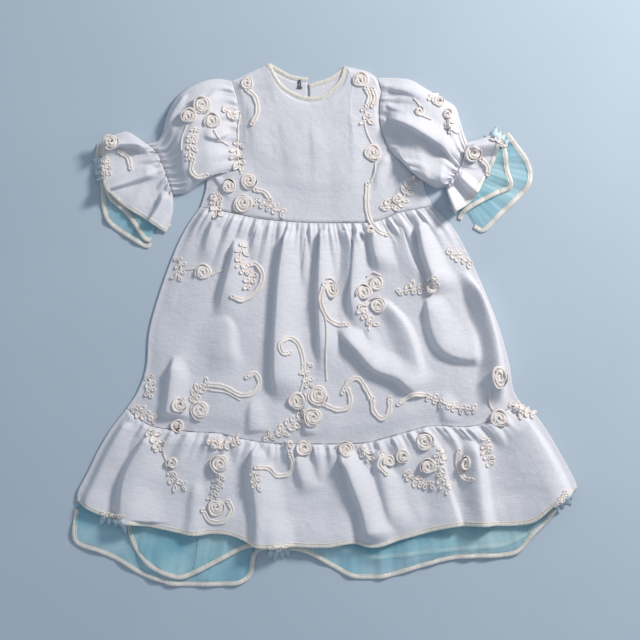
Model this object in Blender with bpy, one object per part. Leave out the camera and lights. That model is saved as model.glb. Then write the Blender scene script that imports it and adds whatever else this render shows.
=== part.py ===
"""A child's christening gown laid flat on its back.

White slubbed linen with cream ribbon applique, puff sleeves, a gathered skirt and a gathered
hem flounce, over sheer organza underflounces. All edges are bound in cream satin.

The frame is +Z up, with +Y towards the neck and the origin at the middle of the gown's base.
Tables and helpers count in millimetres, and each mesh is written in metres.
"""

import math

import bpy
import numpy as np
from mathutils import Vector
from mathutils.bvhtree import BVHTree
from mathutils.geometry import barycentric_transform, delaunay_2d_cdt
from mathutils.kdtree import KDTree

MILLIMETRE = 0.001

# Thickness of each cloth, and the gap kept between two pieces that touch
LINEN = 1.5
ORGANZA = 1.0
GAP = 0.3

# Satin bindings
BINDING_WIDTH = 5.0
BINDING_PROUD = 0.5
NECK_BINDING_WIDTH = 4.5

# Gathers and puffs
WAIST_GATHERS = 22
TIER_GATHERS = 26
SLEEVE_GATHERS = 12
CUFF_GATHERS = 9
# Usual height of each kind of gather, and the share of its panel's length that it reaches
WAIST_HEIGHT, WAIST_REACH = 6.0, 0.26
TIER_HEIGHT, TIER_REACH = 5.0, 0.42
CAP_HEIGHT, CAP_REACH = 4.0, 0.42
WRIST_HEIGHT, WRIST_REACH = 4.0, 0.34
CUFF_HEIGHT, CUFF_REACH = 4.0, 0.6
FLUTE_HEIGHT, FLUTE_REACH = 7.0, 0.9
RIPPLE_HEIGHT, RIPPLE_REACH = 2.0, 0.22

# Air that lifts the middle of each panel
SKIRT_BODY, FLOUNCE_BODY, BODICE_BODY, BODICE_RIPPLE = 3.5, 2.5, 4.0, 1.2

# Share of the puff's height that is left at its gathered line
WRIST_SHARE = 0.15
PUFF_HEIGHT = 21.0

# Applique heights above the cloth
ROSE_HEIGHT = 2.6
LEAF_HEIGHT = 1.6
CORD_HEIGHT = 1.7
CORD_WIDTH = 5.5

# How far the hidden back stops short of the front hem
BACK_HEM_SHORT = 8.0
# Distance of the first column of points from a side fold
FOLD_COLUMN = 5.0
# How far around a point a sheet looks for what it lies on
DRAPE_REACH = 29.0
SEAM_REACH = 8.0
EDGE_LOOK = 1.5

# Each edge line: how many stretches it is cut into, then its x, y points in millimetres
EDGE_LINES = {
    "waist": (44, ((-168, 159), (-138, 153), (-114, 148), (-82, 142), (-33, 138), (14, 137),
                   (60, 138), (83, 144), (103, 152), (145, 160))),
    "tier": (52, ((-268, -113), (-249, -128), (-227, -138), (-180, -144), (-144, -146),
                  (-114, -153), (-84, -158), (-44, -160), (43, -160), (79, -153), (111, -144),
                  (146, -136), (192, -137), (223, -129), (245, -114), (265, -107))),
    "skirt_left": (10, ((-168, 159), (-186, 133), (-202, 101), (-222, 47), (-237, -7),
                        (-241, -55), (-252, -88), (-268, -113))),
    "skirt_right": (10, ((145, 160), (171, 133), (190, 101), (215, 47), (236, -7), (249, -55),
                         (254, -88), (265, -107))),
    "flounce_left": (6, ((-268, -113), (-290, -142), (-306, -169), (-319, -196), (-333, -223),
                         (-335, -236))),
    "flounce_right": (6, ((265, -107), (281, -118), (299, -142), (315, -169), (330, -196),
                          (341, -219))),
    "hem": (52, ((-335, -236), (-314, -250), (-281, -264), (-237, -271), (-180, -283),
                 (-151, -281), (-125, -284), (-87, -298), (-49, -298), (2, -299), (37, -294),
                 (68, -299), (106, -288), (169, -272), (219, -270), (253, -270), (280, -265),
                 (303, -245), (329, -229), (341, -219))),
    "shoulder_left": (3, ((-74, 353), (-98, 342), (-126, 329))),
    "armhole_left": (24, ((-126, 329), (-118, 303), (-115, 269), (-116, 236), (-119, 211),
                          (-138, 207), (-159, 206))),
    "side_left": (4, ((-159, 206), (-161, 182), (-168, 159))),
    "shoulder_right": (3, ((25, 349), (56, 342), (70, 333))),
    "armhole_right": (24, ((70, 333), (76, 317), (74, 299), (74, 275), (80, 252), (90, 232),
                           (101, 221), (115, 207), (132, 194))),
    "side_right": (4, ((132, 194), (136, 178), (145, 160))),
    "neck_front": (16, ((-74, 353), (-65, 335), (-56, 323), (-40, 313), (-22, 308), (-5, 310),
                        (10, 321), (20, 333), (25, 349))),
    "neck_back_left": (6, ((-74, 353), (-60, 345), (-47, 338), (-33, 335), (-24, 334))),
    "neck_back_right": (6, ((-21, 325), (-13, 328), (1, 332), (13, 339), (25, 349))),
    "sleeve_left_top": (12, ((-126, 329), (-144, 332), (-161, 330), (-179, 323), (-194, 313),
                             (-206, 298), (-214, 280), (-219, 260), (-227, 248), (-240, 244))),
    "sleeve_left_gather": (24, ((-240, 244), (-227, 233), (-218, 213), (-211, 194),
                                (-205, 176))),
    "sleeve_left_bottom": (6, ((-159, 206), (-164, 195), (-175, 186), (-188, 178),
                               (-205, 176))),
    "cuff_left_top": (5, ((-240, 244), (-254, 254), (-268, 261), (-283, 257), (-296, 250))),
    "cuff_left_bottom": (4, ((-205, 176), (-205, 155), (-209, 138), (-215, 124))),
    "cuff_left_hem": (24, ((-296, 250), (-299, 236), (-300, 215), (-298, 192), (-287, 175),
                           (-271, 160), (-242, 142), (-215, 124))),
    "cuff_left_organza_upper_hem": (18, ((-302, 246), (-303, 222), (-299, 192), (-290, 168),
                                         (-271, 151), (-257, 133), (-245, 115), (-236, 111))),
    "cuff_left_organza_under_hem": (18, ((-307, 245), (-310, 226), (-310, 209), (-303, 190),
                                         (-302, 171), (-300, 152), (-290, 134), (-267, 118),
                                         (-241, 103), (-233, 108))),
    "sleeve_right_top": (12, ((70, 333), (88, 333), (114, 331), (134, 320), (156, 307),
                              (175, 295), (182, 276), (187, 259), (192, 246))),
    "sleeve_right_gather": (24, ((192, 246), (188, 233), (184, 218), (175, 202), (163, 186))),
    "sleeve_right_bottom": (6, ((132, 194), (142, 188), (152, 184), (163, 186))),
    "cuff_right_top": (5, ((192, 246), (211, 251), (230, 259))),
    "cuff_right_bottom": (4, ((163, 186), (168, 167), (176, 149))),
    "cuff_right_hem": (24, ((230, 259), (234, 238), (226, 215), (215, 196), (205, 175),
                            (190, 160), (176, 149))),
    "cuff_right_organza_upper_hem": (18, ((237, 259), (245, 236), (248, 211), (253, 186),
                                          (232, 175), (210, 164), (191, 152), (184, 141))),
    "cuff_right_organza_under_hem": (18, ((248, 260), (263, 240), (275, 222), (280, 202),
                                          (275, 184), (259, 167), (237, 146), (215, 125),
                                          (200, 130))),
    "organza_front_left": (5, ((-250, -141), (-250, -170), (-256, -215), (-266, -250),
                               (-268, -269))),
    "organza_front_right": (5, ((250, -127), (280, -156), (302, -185), (318, -215),
                                (321, -237))),
    "organza_front_hem": (44, ((-268, -269), (-259, -298), (-242, -322), (-222, -335),
                               (-195, -343), (-168, -333), (-133, -315), (-101, -300),
                               (-67, -303), (-29, -306), (9, -327), (34, -340), (56, -343),
                               (88, -340), (124, -329), (169, -317), (207, -314), (240, -313),
                               (263, -306), (284, -281), (302, -263), (321, -237))),
    "organza_back_left": (5, ((-262, -132), (-290, -170), (-318, -215), (-332, -240),
                              (-338, -248))),
    "organza_back_right": (5, ((258, -123), (284, -154), (305, -185), (320, -215),
                               (324, -240))),
    "organza_back_hem": (44, ((-338, -248), (-339, -292), (-306, -307), (-279, -319),
                              (-248, -338), (-222, -347), (-202, -352), (-133, -352),
                              (-110, -348), (-97, -335), (-90, -307), (-60, -302), (-20, -299),
                              (20, -303), (57, -313), (75, -316), (106, -313), (155, -307),
                              (210, -302), (250, -296), (288, -272), (324, -240))),
}

# Long folds of the skirt: start and end of the crest, its height, and the widths of its steep
# left side and its gentle right side
SKIRT_FOLDS = (
    # x1, y1, x2, y2, height, left, right
    (-118, 128, -140, 2, 8, 11, 22),
    (-45, 138, -70, -95, 14, 12, 34),
    (-4, 130, -4, -50, 10, 10, 26),
    (40, 128, 41, 0, 9, 10, 24),
    (66, 130, 80, 30, 8, 10, 22),
    (108, 138, 150, 64, 9, 12, 24),
    (140, 68, 206, -20, 11, 22, 12),
    (206, -20, 212, -100, 11, 24, 12),
    (24, -20, 58, -78, 9, 12, 30),
    (58, -78, 130, -98, 7, 12, 26),
    (-208, -40, -220, -110, 8, 12, 26),
    (-168, 60, -180, -60, 5, 16, 34),
)

# Folds of the hem flounce, in the same columns
FLOUNCE_FOLDS = (
    (-228, -150, -274, -238, 10, 13, 34),
    (-170, -152, -196, -262, 8, 14, 30),
    (-92, -162, -104, -262, 12, 10, 32),
    (-40, -166, -44, -280, 8, 14, 26),
    (14, -184, 28, -275, 13, 13, 38),
    (78, -160, 92, -272, 8, 12, 26),
    (166, -176, 180, -262, 12, 12, 30),
    (212, -160, 214, -252, 12, 12, 44),
    (268, -140, 296, -222, 8, 20, 30),
)

# Folds across the puff of each sleeve, in the same columns
SLEEVE_LEFT_FOLDS = (
    (-140, 318, -214, 214, 5, 14, 16),
    (-160, 300, -196, 190, 4, 10, 14),
)
SLEEVE_RIGHT_FOLDS = (
    (82, 296, 178, 226, 8, 16, 12),
    (84, 316, 140, 284, 6, 14, 12),
)

# Ribbon roses of each panel
ROSES = {
    # x, y, radius
    "bodice_front": ((-104, 326, 9), (-102, 194, 11), (-130, 187, 9), (-110, 164, 12),
                     (48, 330, 10), (64, 231, 11)),
    "sleeve_left_upper": ((-163, 293, 11), (-181, 278, 10), (-150, 273, 10)),
    "sleeve_right_upper": ((126, 285, 8), (153, 299, 8), (163, 283, 8)),
    "cuff_left_upper": ((-284, 244, 9),),
    "cuff_right_upper": ((196, 226, 10),),
    "skirt_front": ((-164, 71, 11), (7, 49, 10), (52, 44, 11), (71, 27, 10), (142, 49, 11),
                    (-195, -107, 11), (-168, -115, 13), (-38, -102, 12), (-9, -94, 12),
                    (-15, -123, 12), (233, -68, 11), (234, -124, 12)),
    "flounce_front": ((-209, -168, 10), (-184, -190, 10), (-141, -186, 12), (-28, -170, 10),
                      (28, -174, 9), (133, -156, 11), (105, -176, 9), (138, -190, 10)),
}

# Ribbon leaves of each panel: centre, length, width and angle in degrees
LEAVES = {
    # x, y, length, width, angle
    "bodice_front": ((-116, 170, 13, 7, 20), (-80, 158, 14, 8, -15), (62, 326, 14, 7, 10),
                     (54, 284, 16, 9, 80), (106, 174, 18, 9, 30)),
    "sleeve_left_upper": ((-131, 286, 12, 7, 60), (-176, 240, 14, 8, 75)),
    "skirt_front": ((-198, 80, 18, 9, 30), (50, 8, 15, 9, 70), (108, 46, 20, 10, -10),
                    (170, 92, 14, 8, 40), (-260, -88, 14, 8, 60), (-222, -112, 18, 9, 0),
                    (-22, -54, 14, 8, 30), (-62, -136, 18, 9, -25), (176, -102, 22, 9, -8)),
    "flounce_front": ((-228, -150, 15, 8, -60), (-150, -162, 16, 8, 20), (-94, -206, 14, 8, 40),
                      (50, -172, 14, 8, 70), (110, -206, 15, 8, 20), (214, -168, 15, 8, 80),
                      (192, -190, 14, 7, 80)),
}

# Ribbon cords and scrolls of each panel, as x, y points along each
CORDS = {
    "bodice_front": (((-116, 260), (-116, 240), (-114, 222), (-113, 206)),
                     ((-104, 318), (-92, 300), (-91, 286), (-98, 276)),
                     ((52, 272), (58, 256), (64, 244)),
                     ((66, 216), (64, 196), (58, 178), (66, 158))),
    "sleeve_left_upper": (((-164, 280), (-172, 262), (-178, 226), (-166, 216)),),
    "skirt_front": (((-118, 96), (-112, 72), (-118, 50), (-108, 36), (-94, 46), (-96, 64)),
                    ((-4, 44), (-2, 20), (0, -6)),
                    ((-190, 70), (-178, 72)),
                    ((-150, -84), (-130, -90), (-108, -90), (-92, -76), (-88, -62)),
                    ((-56, -22), (-46, -16), (-34, -24), (-30, -50), (-32, -84)),
                    ((6, -106), (22, -112), (36, -98), (44, -80), (60, -92), (72, -118),
                     (88, -112), (96, -94)),
                    ((104, -100), (136, -94), (150, -106))),
    "flounce_front": (((-148, -206), (-150, -228), (-142, -246), (-156, -260)),
                      ((-94, -190), (-68, -200), (-48, -188)),
                      ((156, -158), (162, -186), (160, -214))),
}

# Ribbon tufts: centre, reach of the organza points and direction in degrees
TUFTS = {
    # x, y, reach, angle
    "hem_tuft_left": (-282, -257, 15, 200),
    "hem_tuft_centre": (-62, -300, 15, 250),
    "hem_tuft_right": (318, -232, 14, 330),
    "cuff_left_tuft": (-298, 214, 16, 150),
    "cuff_right_tuft": (234, 247, 14, 70),
}
TUFT_POINTS = 6
TUFT_BASE = 1.2
TUFT_KNOT = 3.2

# The neck opening's hook, on the inner face of the left back
HOOK_CENTRE = (-34, 326)
HOOK_SIZE = (4.0, 9.0, 1.4)

# Edges of the back opening, which runs from the neck to the waist
SLIT_LEFT_X = -24.0
SLIT_RIGHT_X = -21.0

# Colour, roughness and metallic value of each finish
FINISHES = {
    "linen": ((0.86, 0.87, 0.89), 0.85, 0.0),
    "organza": ((0.55, 0.78, 0.82), 0.40, 0.0),
    "satin": ((0.84, 0.80, 0.74), 0.35, 0.0),
    "ribbon": ((0.86, 0.80, 0.78), 0.60, 0.0),
    "steel": ((0.30, 0.30, 0.32), 0.35, 1.0),
}


def clear_scene():
    """Remove what the scene holds before the gown is built."""
    for item in list(bpy.data.objects):
        bpy.data.objects.remove(item, do_unlink=True)


def finish(name):
    """The named finish as a material."""
    material = bpy.data.materials.get(name)
    if material:
        return material
    colour, roughness, metallic = FINISHES[name]
    material = bpy.data.materials.new(name)
    material.use_nodes = True
    shader = material.node_tree.nodes["Principled BSDF"]
    shader.inputs["Base Color"].default_value = (*colour, 1.0)
    shader.inputs["Roughness"].default_value = roughness
    shader.inputs["Metallic"].default_value = metallic
    return material


def smooth_step(low, high, value):
    """Ease from 0 at low to 1 at high."""
    t = np.clip((np.asarray(value, float) - low) / (high - low), 0.0, 1.0)
    return t * t * (3.0 - 2.0 * t)


def bump(offset, left, right):
    """A rounded bump of height 1 that ends at left and right of its middle."""
    reach = np.where(offset < 0, left, right)
    return np.cos(0.5 * math.pi * np.clip(offset / reach, -1.0, 1.0)) ** 2


# Lines seen from above


def smooth_line(points, stretches):
    """Evenly spaced points on a smooth curve through the given ones."""
    knots = np.array(points, float)
    steps = 12
    padded = np.vstack([2 * knots[0] - knots[1], knots, 2 * knots[-1] - knots[-2]])
    dense = []
    for a, b, c, d in zip(padded, padded[1:], padded[2:], padded[3:]):
        for t in np.arange(steps) / steps:
            cubic = 2 * b + (c - a) * t + (2 * a - 5 * b + 4 * c - d) * t**2
            dense.append(0.5 * (cubic + (3 * b - a - 3 * c + d) * t**3))
    dense.append(knots[-1])
    return resample(np.array(dense), stretches)


def resample(line, stretches):
    """The line cut into equal stretches."""
    lengths = np.concatenate([[0], np.cumsum(np.linalg.norm(np.diff(line, axis=0), axis=1))])
    wanted = np.linspace(0, lengths[-1], stretches + 1)
    return np.column_stack([np.interp(wanted, lengths, line[:, axis]) for axis in (0, 1)])


def edge(name, step=1):
    """A named edge line, with every step-th of its points."""
    stretches, points = EDGE_LINES[name]
    return smooth_line(points, stretches)[::step]


def shifted(line, distance):
    """The line moved sideways, to the left of its direction where distance is positive."""
    along = np.gradient(line, axis=0)
    along /= np.linalg.norm(along, axis=1)[:, None]
    return line + distance * np.column_stack([-along[:, 1], along[:, 0]])


def joined(*lines):
    """One closed outline from lines that follow each other."""
    return np.vstack([line[:-1] for line in lines])


def signed_area(outline):
    """Area of an outline, positive where it runs anticlockwise."""
    following = np.roll(outline, -1, axis=0)
    return 0.5 * np.sum(outline[:, 0] * following[:, 1] - following[:, 0] * outline[:, 1])


def drawn_in(outline, distance):
    """An anticlockwise outline with each side moved inwards."""
    before = outline - np.roll(outline, 1, axis=0)
    after = np.roll(outline, -1, axis=0) - outline
    normals = []
    for side in (before, after):
        side = side / np.linalg.norm(side, axis=1)[:, None]
        normals.append(np.column_stack([-side[:, 1], side[:, 0]]))
    middle = normals[0] + normals[1]
    middle /= np.linalg.norm(middle, axis=1)[:, None]
    spread = np.maximum(np.sum(middle * normals[0], axis=1), 0.5)
    return outline + distance * middle / spread[:, None]


class Panel:
    """A cloth panel seen from above, as a patch between four edge lines.

    u runs across the cloth from its left side to its right, and v runs down it from the
    gathered edge to the hem.
    """

    def __init__(self, top, bottom, left, right):
        dense = 240
        self.top = resample(top, dense)
        self.bottom = resample(bottom, dense)
        self.left = resample(left, dense)
        self.right = resample(right, dense)
        across, down = 60, 24
        lattice_u, lattice_v = np.meshgrid(np.linspace(0, 1, across), np.linspace(0, 1, down))
        self.lattice_uv = np.column_stack([lattice_u.ravel(), lattice_v.ravel()])
        self.lattice = self.place(self.lattice_uv[:, 0], self.lattice_uv[:, 1])
        self.faces = []
        for j in range(down - 1):
            for i in range(across - 1):
                a, b = j * across + i, (j + 1) * across + i
                self.faces += [(a, b, b + 1), (a, b + 1, a + 1)]
        flat = [(x, y, 0.0) for x, y in self.lattice]
        self.tree = BVHTree.FromPolygons(flat, self.faces)

    @staticmethod
    def along(line, t):
        """Points at the shares t of a line's length."""
        places = np.linspace(0, 1, len(line))
        return np.column_stack([np.interp(t, places, line[:, axis]) for axis in (0, 1)])

    def place(self, u, v):
        """The x, y points of panel coordinates u, v."""
        a, b = u[:, None], v[:, None]
        across = (1 - b) * self.along(self.top, u) + b * self.along(self.bottom, u)
        down = (1 - a) * self.along(self.left, v) + a * self.along(self.right, v)
        corners = (1 - b) * ((1 - a) * self.top[0] + a * self.top[-1])
        corners = corners + b * ((1 - a) * self.bottom[0] + a * self.bottom[-1])
        return across + down - corners

    def locate(self, points):
        """The panel coordinates u, v of x, y points."""
        found = []
        for x, y in points:
            place, _, index, _ = self.tree.find_nearest(Vector((x, y, 0.0)))
            face = self.faces[index]
            corners = [Vector((*self.lattice[i], 0.0)) for i in face]
            values = [Vector((*self.lattice_uv[i], 0.0)) for i in face]
            found.append(barycentric_transform(place, *corners, *values)[:2])
        return np.clip(np.array(found), 0.0, 1.0)


# What each sheet lies on


class Ground:
    """The tops of the pieces built so far, which the next sheet lies on."""

    def __init__(self):
        self.trees = []
        self.points = []

    def add(self, vertices, faces):
        """Take in one more piece."""
        self.trees.append(BVHTree.FromPolygons([tuple(v) for v in vertices], faces))
        self.points += [tuple(v) for v in vertices]

    def level(self, points, reach):
        """The height that cloth at each point must clear, looking around it."""
        if not self.points:
            return np.zeros(len(points))
        near = KDTree(len(self.points))
        for index, (x, y, _) in enumerate(self.points):
            near.insert((x, y, 0.0), index)
        near.balance()
        levels = []
        for (x, y), distance in zip(points, reach):
            heights = [0.0]
            for _, index, _ in near.find_range((x, y, 0.0), distance):
                heights.append(self.points[index][2] + GAP)
            for dx, dy in ((0, 0), (1, 0), (-1, 0), (0, 1), (0, -1)):
                above = Vector((x + dx * EDGE_LOOK, y + dy * EDGE_LOOK, 1000.0))
                hits = [tree.ray_cast(above, Vector((0, 0, -1)))[0] for tree in self.trees]
                heights += [hit.z + GAP for hit in hits if hit]
            levels.append(max(heights))
        return np.array(levels)


# Meshes


def solid(name, vertices, faces, material):
    """A closed piece from points in millimetres."""
    mesh = bpy.data.meshes.new(name)
    mesh.from_pydata([tuple(MILLIMETRE * np.asarray(v, float)) for v in vertices], [], faces)
    mesh.materials.append(finish(material))
    mesh.update()
    piece = bpy.data.objects.new(name, mesh)
    bpy.context.scene.collection.objects.link(piece)
    mesh.shade_smooth()
    mesh.set_sharp_from_angle(angle=math.radians(50))
    return piece


def triangles(outline, inside):
    """Points and triangles that fill an anticlockwise outline, with points inside it."""
    points = np.vstack([outline, inside]) if len(inside) else outline
    whole = list(range(len(outline)))
    vertices, _, faces, _, _, source = delaunay_2d_cdt(
        [Vector(p) for p in points], [], [whole], 1, 1e-5, True)
    filled = [tuple(face) for face, origin in zip(faces, source) if origin]
    return np.array([tuple(v) for v in vertices]), filled


def steepness(points, heights, faces):
    """How much longer than its thickness a sloping wall is when cut straight down."""
    corners = np.column_stack([points, heights])
    normals = np.zeros((len(points), 3))
    for a, b, c in faces:
        normal = np.cross(corners[b] - corners[a], corners[c] - corners[a])
        normals[[a, b, c]] += normal
    normals /= np.maximum(np.linalg.norm(normals, axis=1), 1e-9)[:, None]
    return np.minimum(1.0 / np.maximum(np.abs(normals[:, 2]), 0.1), 2.2)


def wall(name, points, faces, top, base, material):
    """A wall of cloth between the heights base and top of the same points."""
    count = len(points)
    upper = np.column_stack([points, top])
    lower = np.column_stack([points, base])
    skins = [tuple(f) for f in faces] + [tuple(i + count for i in reversed(f)) for f in faces]
    used = {(f[i], f[(i + 1) % 3]) for f in faces for i in range(3)}
    rims = [(b, a, a + count, b + count) for a, b in used if (b, a) not in used]
    return solid(name, np.vstack([upper, lower]), skins + rims, material)


class Sheet:
    """One panel of cloth: its outline, its inner points and how it lies."""

    def __init__(self, name, outline, inside, cloth, material, lift):
        if signed_area(outline) < 0:
            outline = outline[::-1]
        self.name = name
        self.cloth = cloth
        self.material = material
        self.lift = lift
        self.outline = drawn_in(outline, 0.5 * GAP)
        self.inside = inside
        self.motifs = np.empty((0, 3))

    def applique(self):
        """Add the points of the panel's roses, leaves and cords, with their heights."""
        shapes = [rose(*row) for row in ROSES.get(self.name, ())]
        shapes += [leaf(*row) for row in LEAVES.get(self.name, ())]
        shapes += [cord(row) for row in CORDS.get(self.name, ())]
        margin = 3.0
        kept = []
        for shape in shapes:
            kept += [(x, y, rise) for x, y, rise in shape
                     if inside_by((x, y), self.outline, margin)
                     and all(math.hypot(x - a, y - b) > margin for a, b, _ in kept)]
        self.motifs = np.array(kept)
        spread = 5.0
        self.inside = np.array([p for p in self.inside if not len(kept) or np.min(
            np.hypot(*(self.motifs[:, :2] - p).T)) > spread])

    def build(self, ground, reach=None):
        """Lay the sheet on the ground and add it there. Return its top at its points.

        A sheet without a looking distance lies flat on the surface itself.
        """
        inner = np.vstack([self.inside, self.motifs[:, :2]])
        points, faces = triangles(self.outline, inner)
        base = ground.level(points, reach(points)) if reach else np.zeros(len(points))
        plain = base + self.cloth + self.lift(points)
        drop = self.cloth * steepness(points, plain, faces)
        lower = np.maximum(plain - drop, base)
        raised = plain.copy()
        for x, y, rise in self.motifs:
            raised[np.argmin(np.hypot(points[:, 0] - x, points[:, 1] - y))] += rise
        wall(self.name, points, faces, raised, lower, self.material)
        ground.add(np.column_stack([points, raised]), faces)
        return SheetTop(points, plain, lower)


class SheetTop:
    """Heights of a sheet that was laid, for what is sewn to its edge."""

    def __init__(self, points, top, base):
        self.points, self.top, self.base = points, top, base

    def beside(self, point):
        """Top and base of the sheet at its point nearest to the given one."""
        index = np.argmin(np.hypot(*(self.points - point).T))
        return self.top[index], self.base[index]


def inside_by(point, outline, margin):
    """Whether a point lies inside an outline, and clear of it by the margin."""
    x, y = point
    following = np.roll(outline, -1, axis=0)
    crossing = (outline[:, 1] > y) != (following[:, 1] > y)
    a, b = outline[crossing], following[crossing]
    cuts = a[:, 0] + (y - a[:, 1]) / (b[:, 1] - a[:, 1]) * (b[:, 0] - a[:, 0])
    side = following - outline
    share = np.clip(np.sum((point - outline) * side, axis=1) / np.sum(side**2, axis=1), 0, 1)
    distance = np.min(np.linalg.norm(outline + share[:, None] * side - point, axis=1))
    return np.sum(cuts > x) % 2 == 1 and distance > margin


# Applique


def ring(x, y, radius, count, rise, turn=0.0):
    """Points of a circle with one height."""
    angles = turn + 2 * math.pi * np.arange(count) / count
    return [(x + radius * math.cos(a), y + radius * math.sin(a), rise) for a in angles]


def rose(x, y, radius):
    """A rolled ribbon rose: a raised ring that falls to the cloth around it."""
    petals = 6
    crown = ring(x, y, 0.55 * radius, petals, ROSE_HEIGHT)
    return crown + ring(x, y, radius, petals, 0.0, math.pi / petals)


def leaf(x, y, length, width, angle):
    """A ribbon leaf with a raised middle."""
    turn = math.radians(angle)
    along = np.array([math.cos(turn), math.sin(turn)])
    across = np.array([-along[1], along[0]])
    centre = np.array([x, y])
    rim = [centre + 0.5 * length * along, centre + 0.5 * width * across,
           centre - 0.5 * length * along, centre - 0.5 * width * across]
    return [(*centre, LEAF_HEIGHT)] + [(*point, 0.0) for point in rim]


def cord(points):
    """A raised ribbon cord: pairs of edge points with a higher one between them."""
    spacing = 10.0
    rough = smooth_line(points, 40)
    length = np.sum(np.linalg.norm(np.diff(rough, axis=0), axis=1))
    line = resample(rough, max(2, round(length / spacing)))
    left = shifted(line, 0.5 * CORD_WIDTH)
    right = shifted(line, -0.5 * CORD_WIDTH)
    shape = [(*p, CORD_HEIGHT) for p in line]
    shape += [(*p, 0.0) for side in (left, right) for p in side]
    return shape


# How each cloth rises above what it lies on


def folds(points, table):
    """Height of long folds, each a row of a fold table."""
    total = np.zeros(len(points))
    for x1, y1, x2, y2, height, left, right in table:
        start, end = np.array([x1, y1], float), np.array([x2, y2], float)
        length = np.linalg.norm(end - start)
        along = (end - start) / length
        to_right = np.array([along[1], -along[0]])
        if to_right[0] < 0:
            to_right = -to_right
        from_start = points - start
        share = from_start @ along / length
        offset = from_start @ to_right
        ends = smooth_step(-0.12, 0.18, share) * (1 - smooth_step(0.78, 1.15, share))
        total = np.maximum(total, height * ends * bump(offset, left, right))
    return total


def gathers(u, v, count, seed, height, reach):
    """Height of uneven gathers that start at v = 0 and die away at about reach."""
    random = np.random.default_rng(seed)
    total = np.zeros(len(u))
    half = 0.5 / count
    for index in range(count):
        middle = (index + 0.5 + random.uniform(-0.12, 0.12)) / count
        tall = height * random.uniform(0.65, 1.25)
        long = reach * random.uniform(0.6, 1.5)
        fade = (1 - smooth_step(0.0, long, v)) * (0.1 + 0.9 * smooth_step(0.0, 0.05, v))
        total = np.maximum(total, tall * fade * bump(u - middle, half, half))
    return total


def side_fade(u, width):
    """Ease to nothing at both side folds."""
    return smooth_step(0, width, u) * smooth_step(0, width, 1 - u)


def flat(points):
    """A sheet that lies flat on what is below it."""
    return np.zeros(len(points))


def skirt_lift(panel):
    """How the gathered skirt front rises."""
    def lift(points):
        u, v = panel.locate(points).T
        body = SKIRT_BODY * side_fade(u, 0.12) * smooth_step(0, 0.08, v) * (1 - smooth_step(0.9, 1, v))
        ends = smooth_step(0.0, 0.06, v) * (1 - smooth_step(0.93, 1.0, v))
        long = folds(points, SKIRT_FOLDS) * ends
        short = gathers(u, v, WAIST_GATHERS, 5, WAIST_HEIGHT, WAIST_REACH)
        return side_fade(u, 0.03) * (body + np.maximum(long, short))
    return lift


def flounce_lift(panel):
    """How the gathered hem flounce rises."""
    def lift(points):
        u, v = panel.locate(points).T
        short = gathers(u, v, TIER_GATHERS, 8, TIER_HEIGHT, TIER_REACH)
        body = FLOUNCE_BODY * side_fade(u, 0.1) * smooth_step(0, 0.15, v)
        long = folds(points, FLOUNCE_FOLDS) * smooth_step(0.0, 0.1, v)
        return side_fade(u, 0.03) * (body + np.maximum(long, short))
    return lift


def sleeve_lift(panel, table, seed):
    """How a puff sleeve rises between its armhole and its gathered line."""
    def lift(points):
        u, v = panel.locate(points).T
        around = np.sqrt(np.clip(4 * u * (1 - u), 0, 1))
        fall = (1 - WRIST_SHARE) * smooth_step(0.62, 1.02, v)
        along = smooth_step(-0.05, 0.42, v) * (1 - fall)
        dome = PUFF_HEIGHT * around * along
        cap = gathers(u, v, SLEEVE_GATHERS, seed, CAP_HEIGHT, CAP_REACH)
        wrist = gathers(u, 1 - v, SLEEVE_GATHERS, seed + 1, WRIST_HEIGHT, WRIST_REACH)
        ends = smooth_step(0, 0.15, v) * (1 - smooth_step(0.85, 1, v))
        long = folds(points, table) * ends
        return side_fade(u, 0.08) * (cap + wrist + long) + dome
    return lift


def cuff_lift(panel, seed):
    """How a cuff flounce flares from the sleeve's gathered line."""
    def lift(points):
        u, v = panel.locate(points).T
        around = np.sqrt(np.clip(4 * u * (1 - u), 0, 1))
        neck = WRIST_SHARE * PUFF_HEIGHT * around * (1 - smooth_step(0.0, 0.8, v))
        short = gathers(u, v, SLEEVE_GATHERS, seed, CUFF_HEIGHT, CUFF_REACH)
        wave = gathers(u, 1 - v, CUFF_GATHERS // 2, seed + 1, FLUTE_HEIGHT, FLUTE_REACH)
        return neck + side_fade(u, 0.08) * np.maximum(short, wave)
    return lift


def organza_lift(panel, waves, seed):
    """How a sheer underflounce ripples beyond the linen hem."""
    def lift(points):
        u, v = panel.locate(points).T
        ripple = gathers(u, 1 - v, waves, seed, RIPPLE_HEIGHT, RIPPLE_REACH)
        return side_fade(u, 0.05) * ripple
    return lift


def bodice_lift(outline):
    """How the bodice front rises from its seams."""
    def lift(points):
        low, high = outline.min(axis=0), outline.max(axis=0)
        share = (points - low) / (high - low)
        dome = np.clip(np.sin(math.pi * share[:, 0]) * np.sin(math.pi * share[:, 1]), 0, 1)
        rim = np.array([0.0 if not inside_by(p, outline, 4.0) else 1.0 for p in points])
        ripple = 0.5 + 0.5 * np.sin(points[:, 0] / 17.0 + points[:, 1] / 45.0)
        return rim * (BODICE_BODY * dome + BODICE_RIPPLE * ripple)
    return lift


# Outlines and inner points


def grid(panel, rows, side_margin=0.0):
    """Inner points of a panel: rows of columns, with a column close to each side fold."""
    points = []
    for v, count in rows:
        u = np.linspace(0, 1, count + 1)[1:-1]
        if side_margin:
            width = np.linalg.norm(np.diff(panel.place(
                np.array([0.0, 1.0]), np.array([v, v])), axis=0))
            u = np.concatenate([[side_margin / width], u, [1 - side_margin / width]])
        points.append(panel.place(u, np.full(len(u), v)))
    return np.vstack(points)


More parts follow.
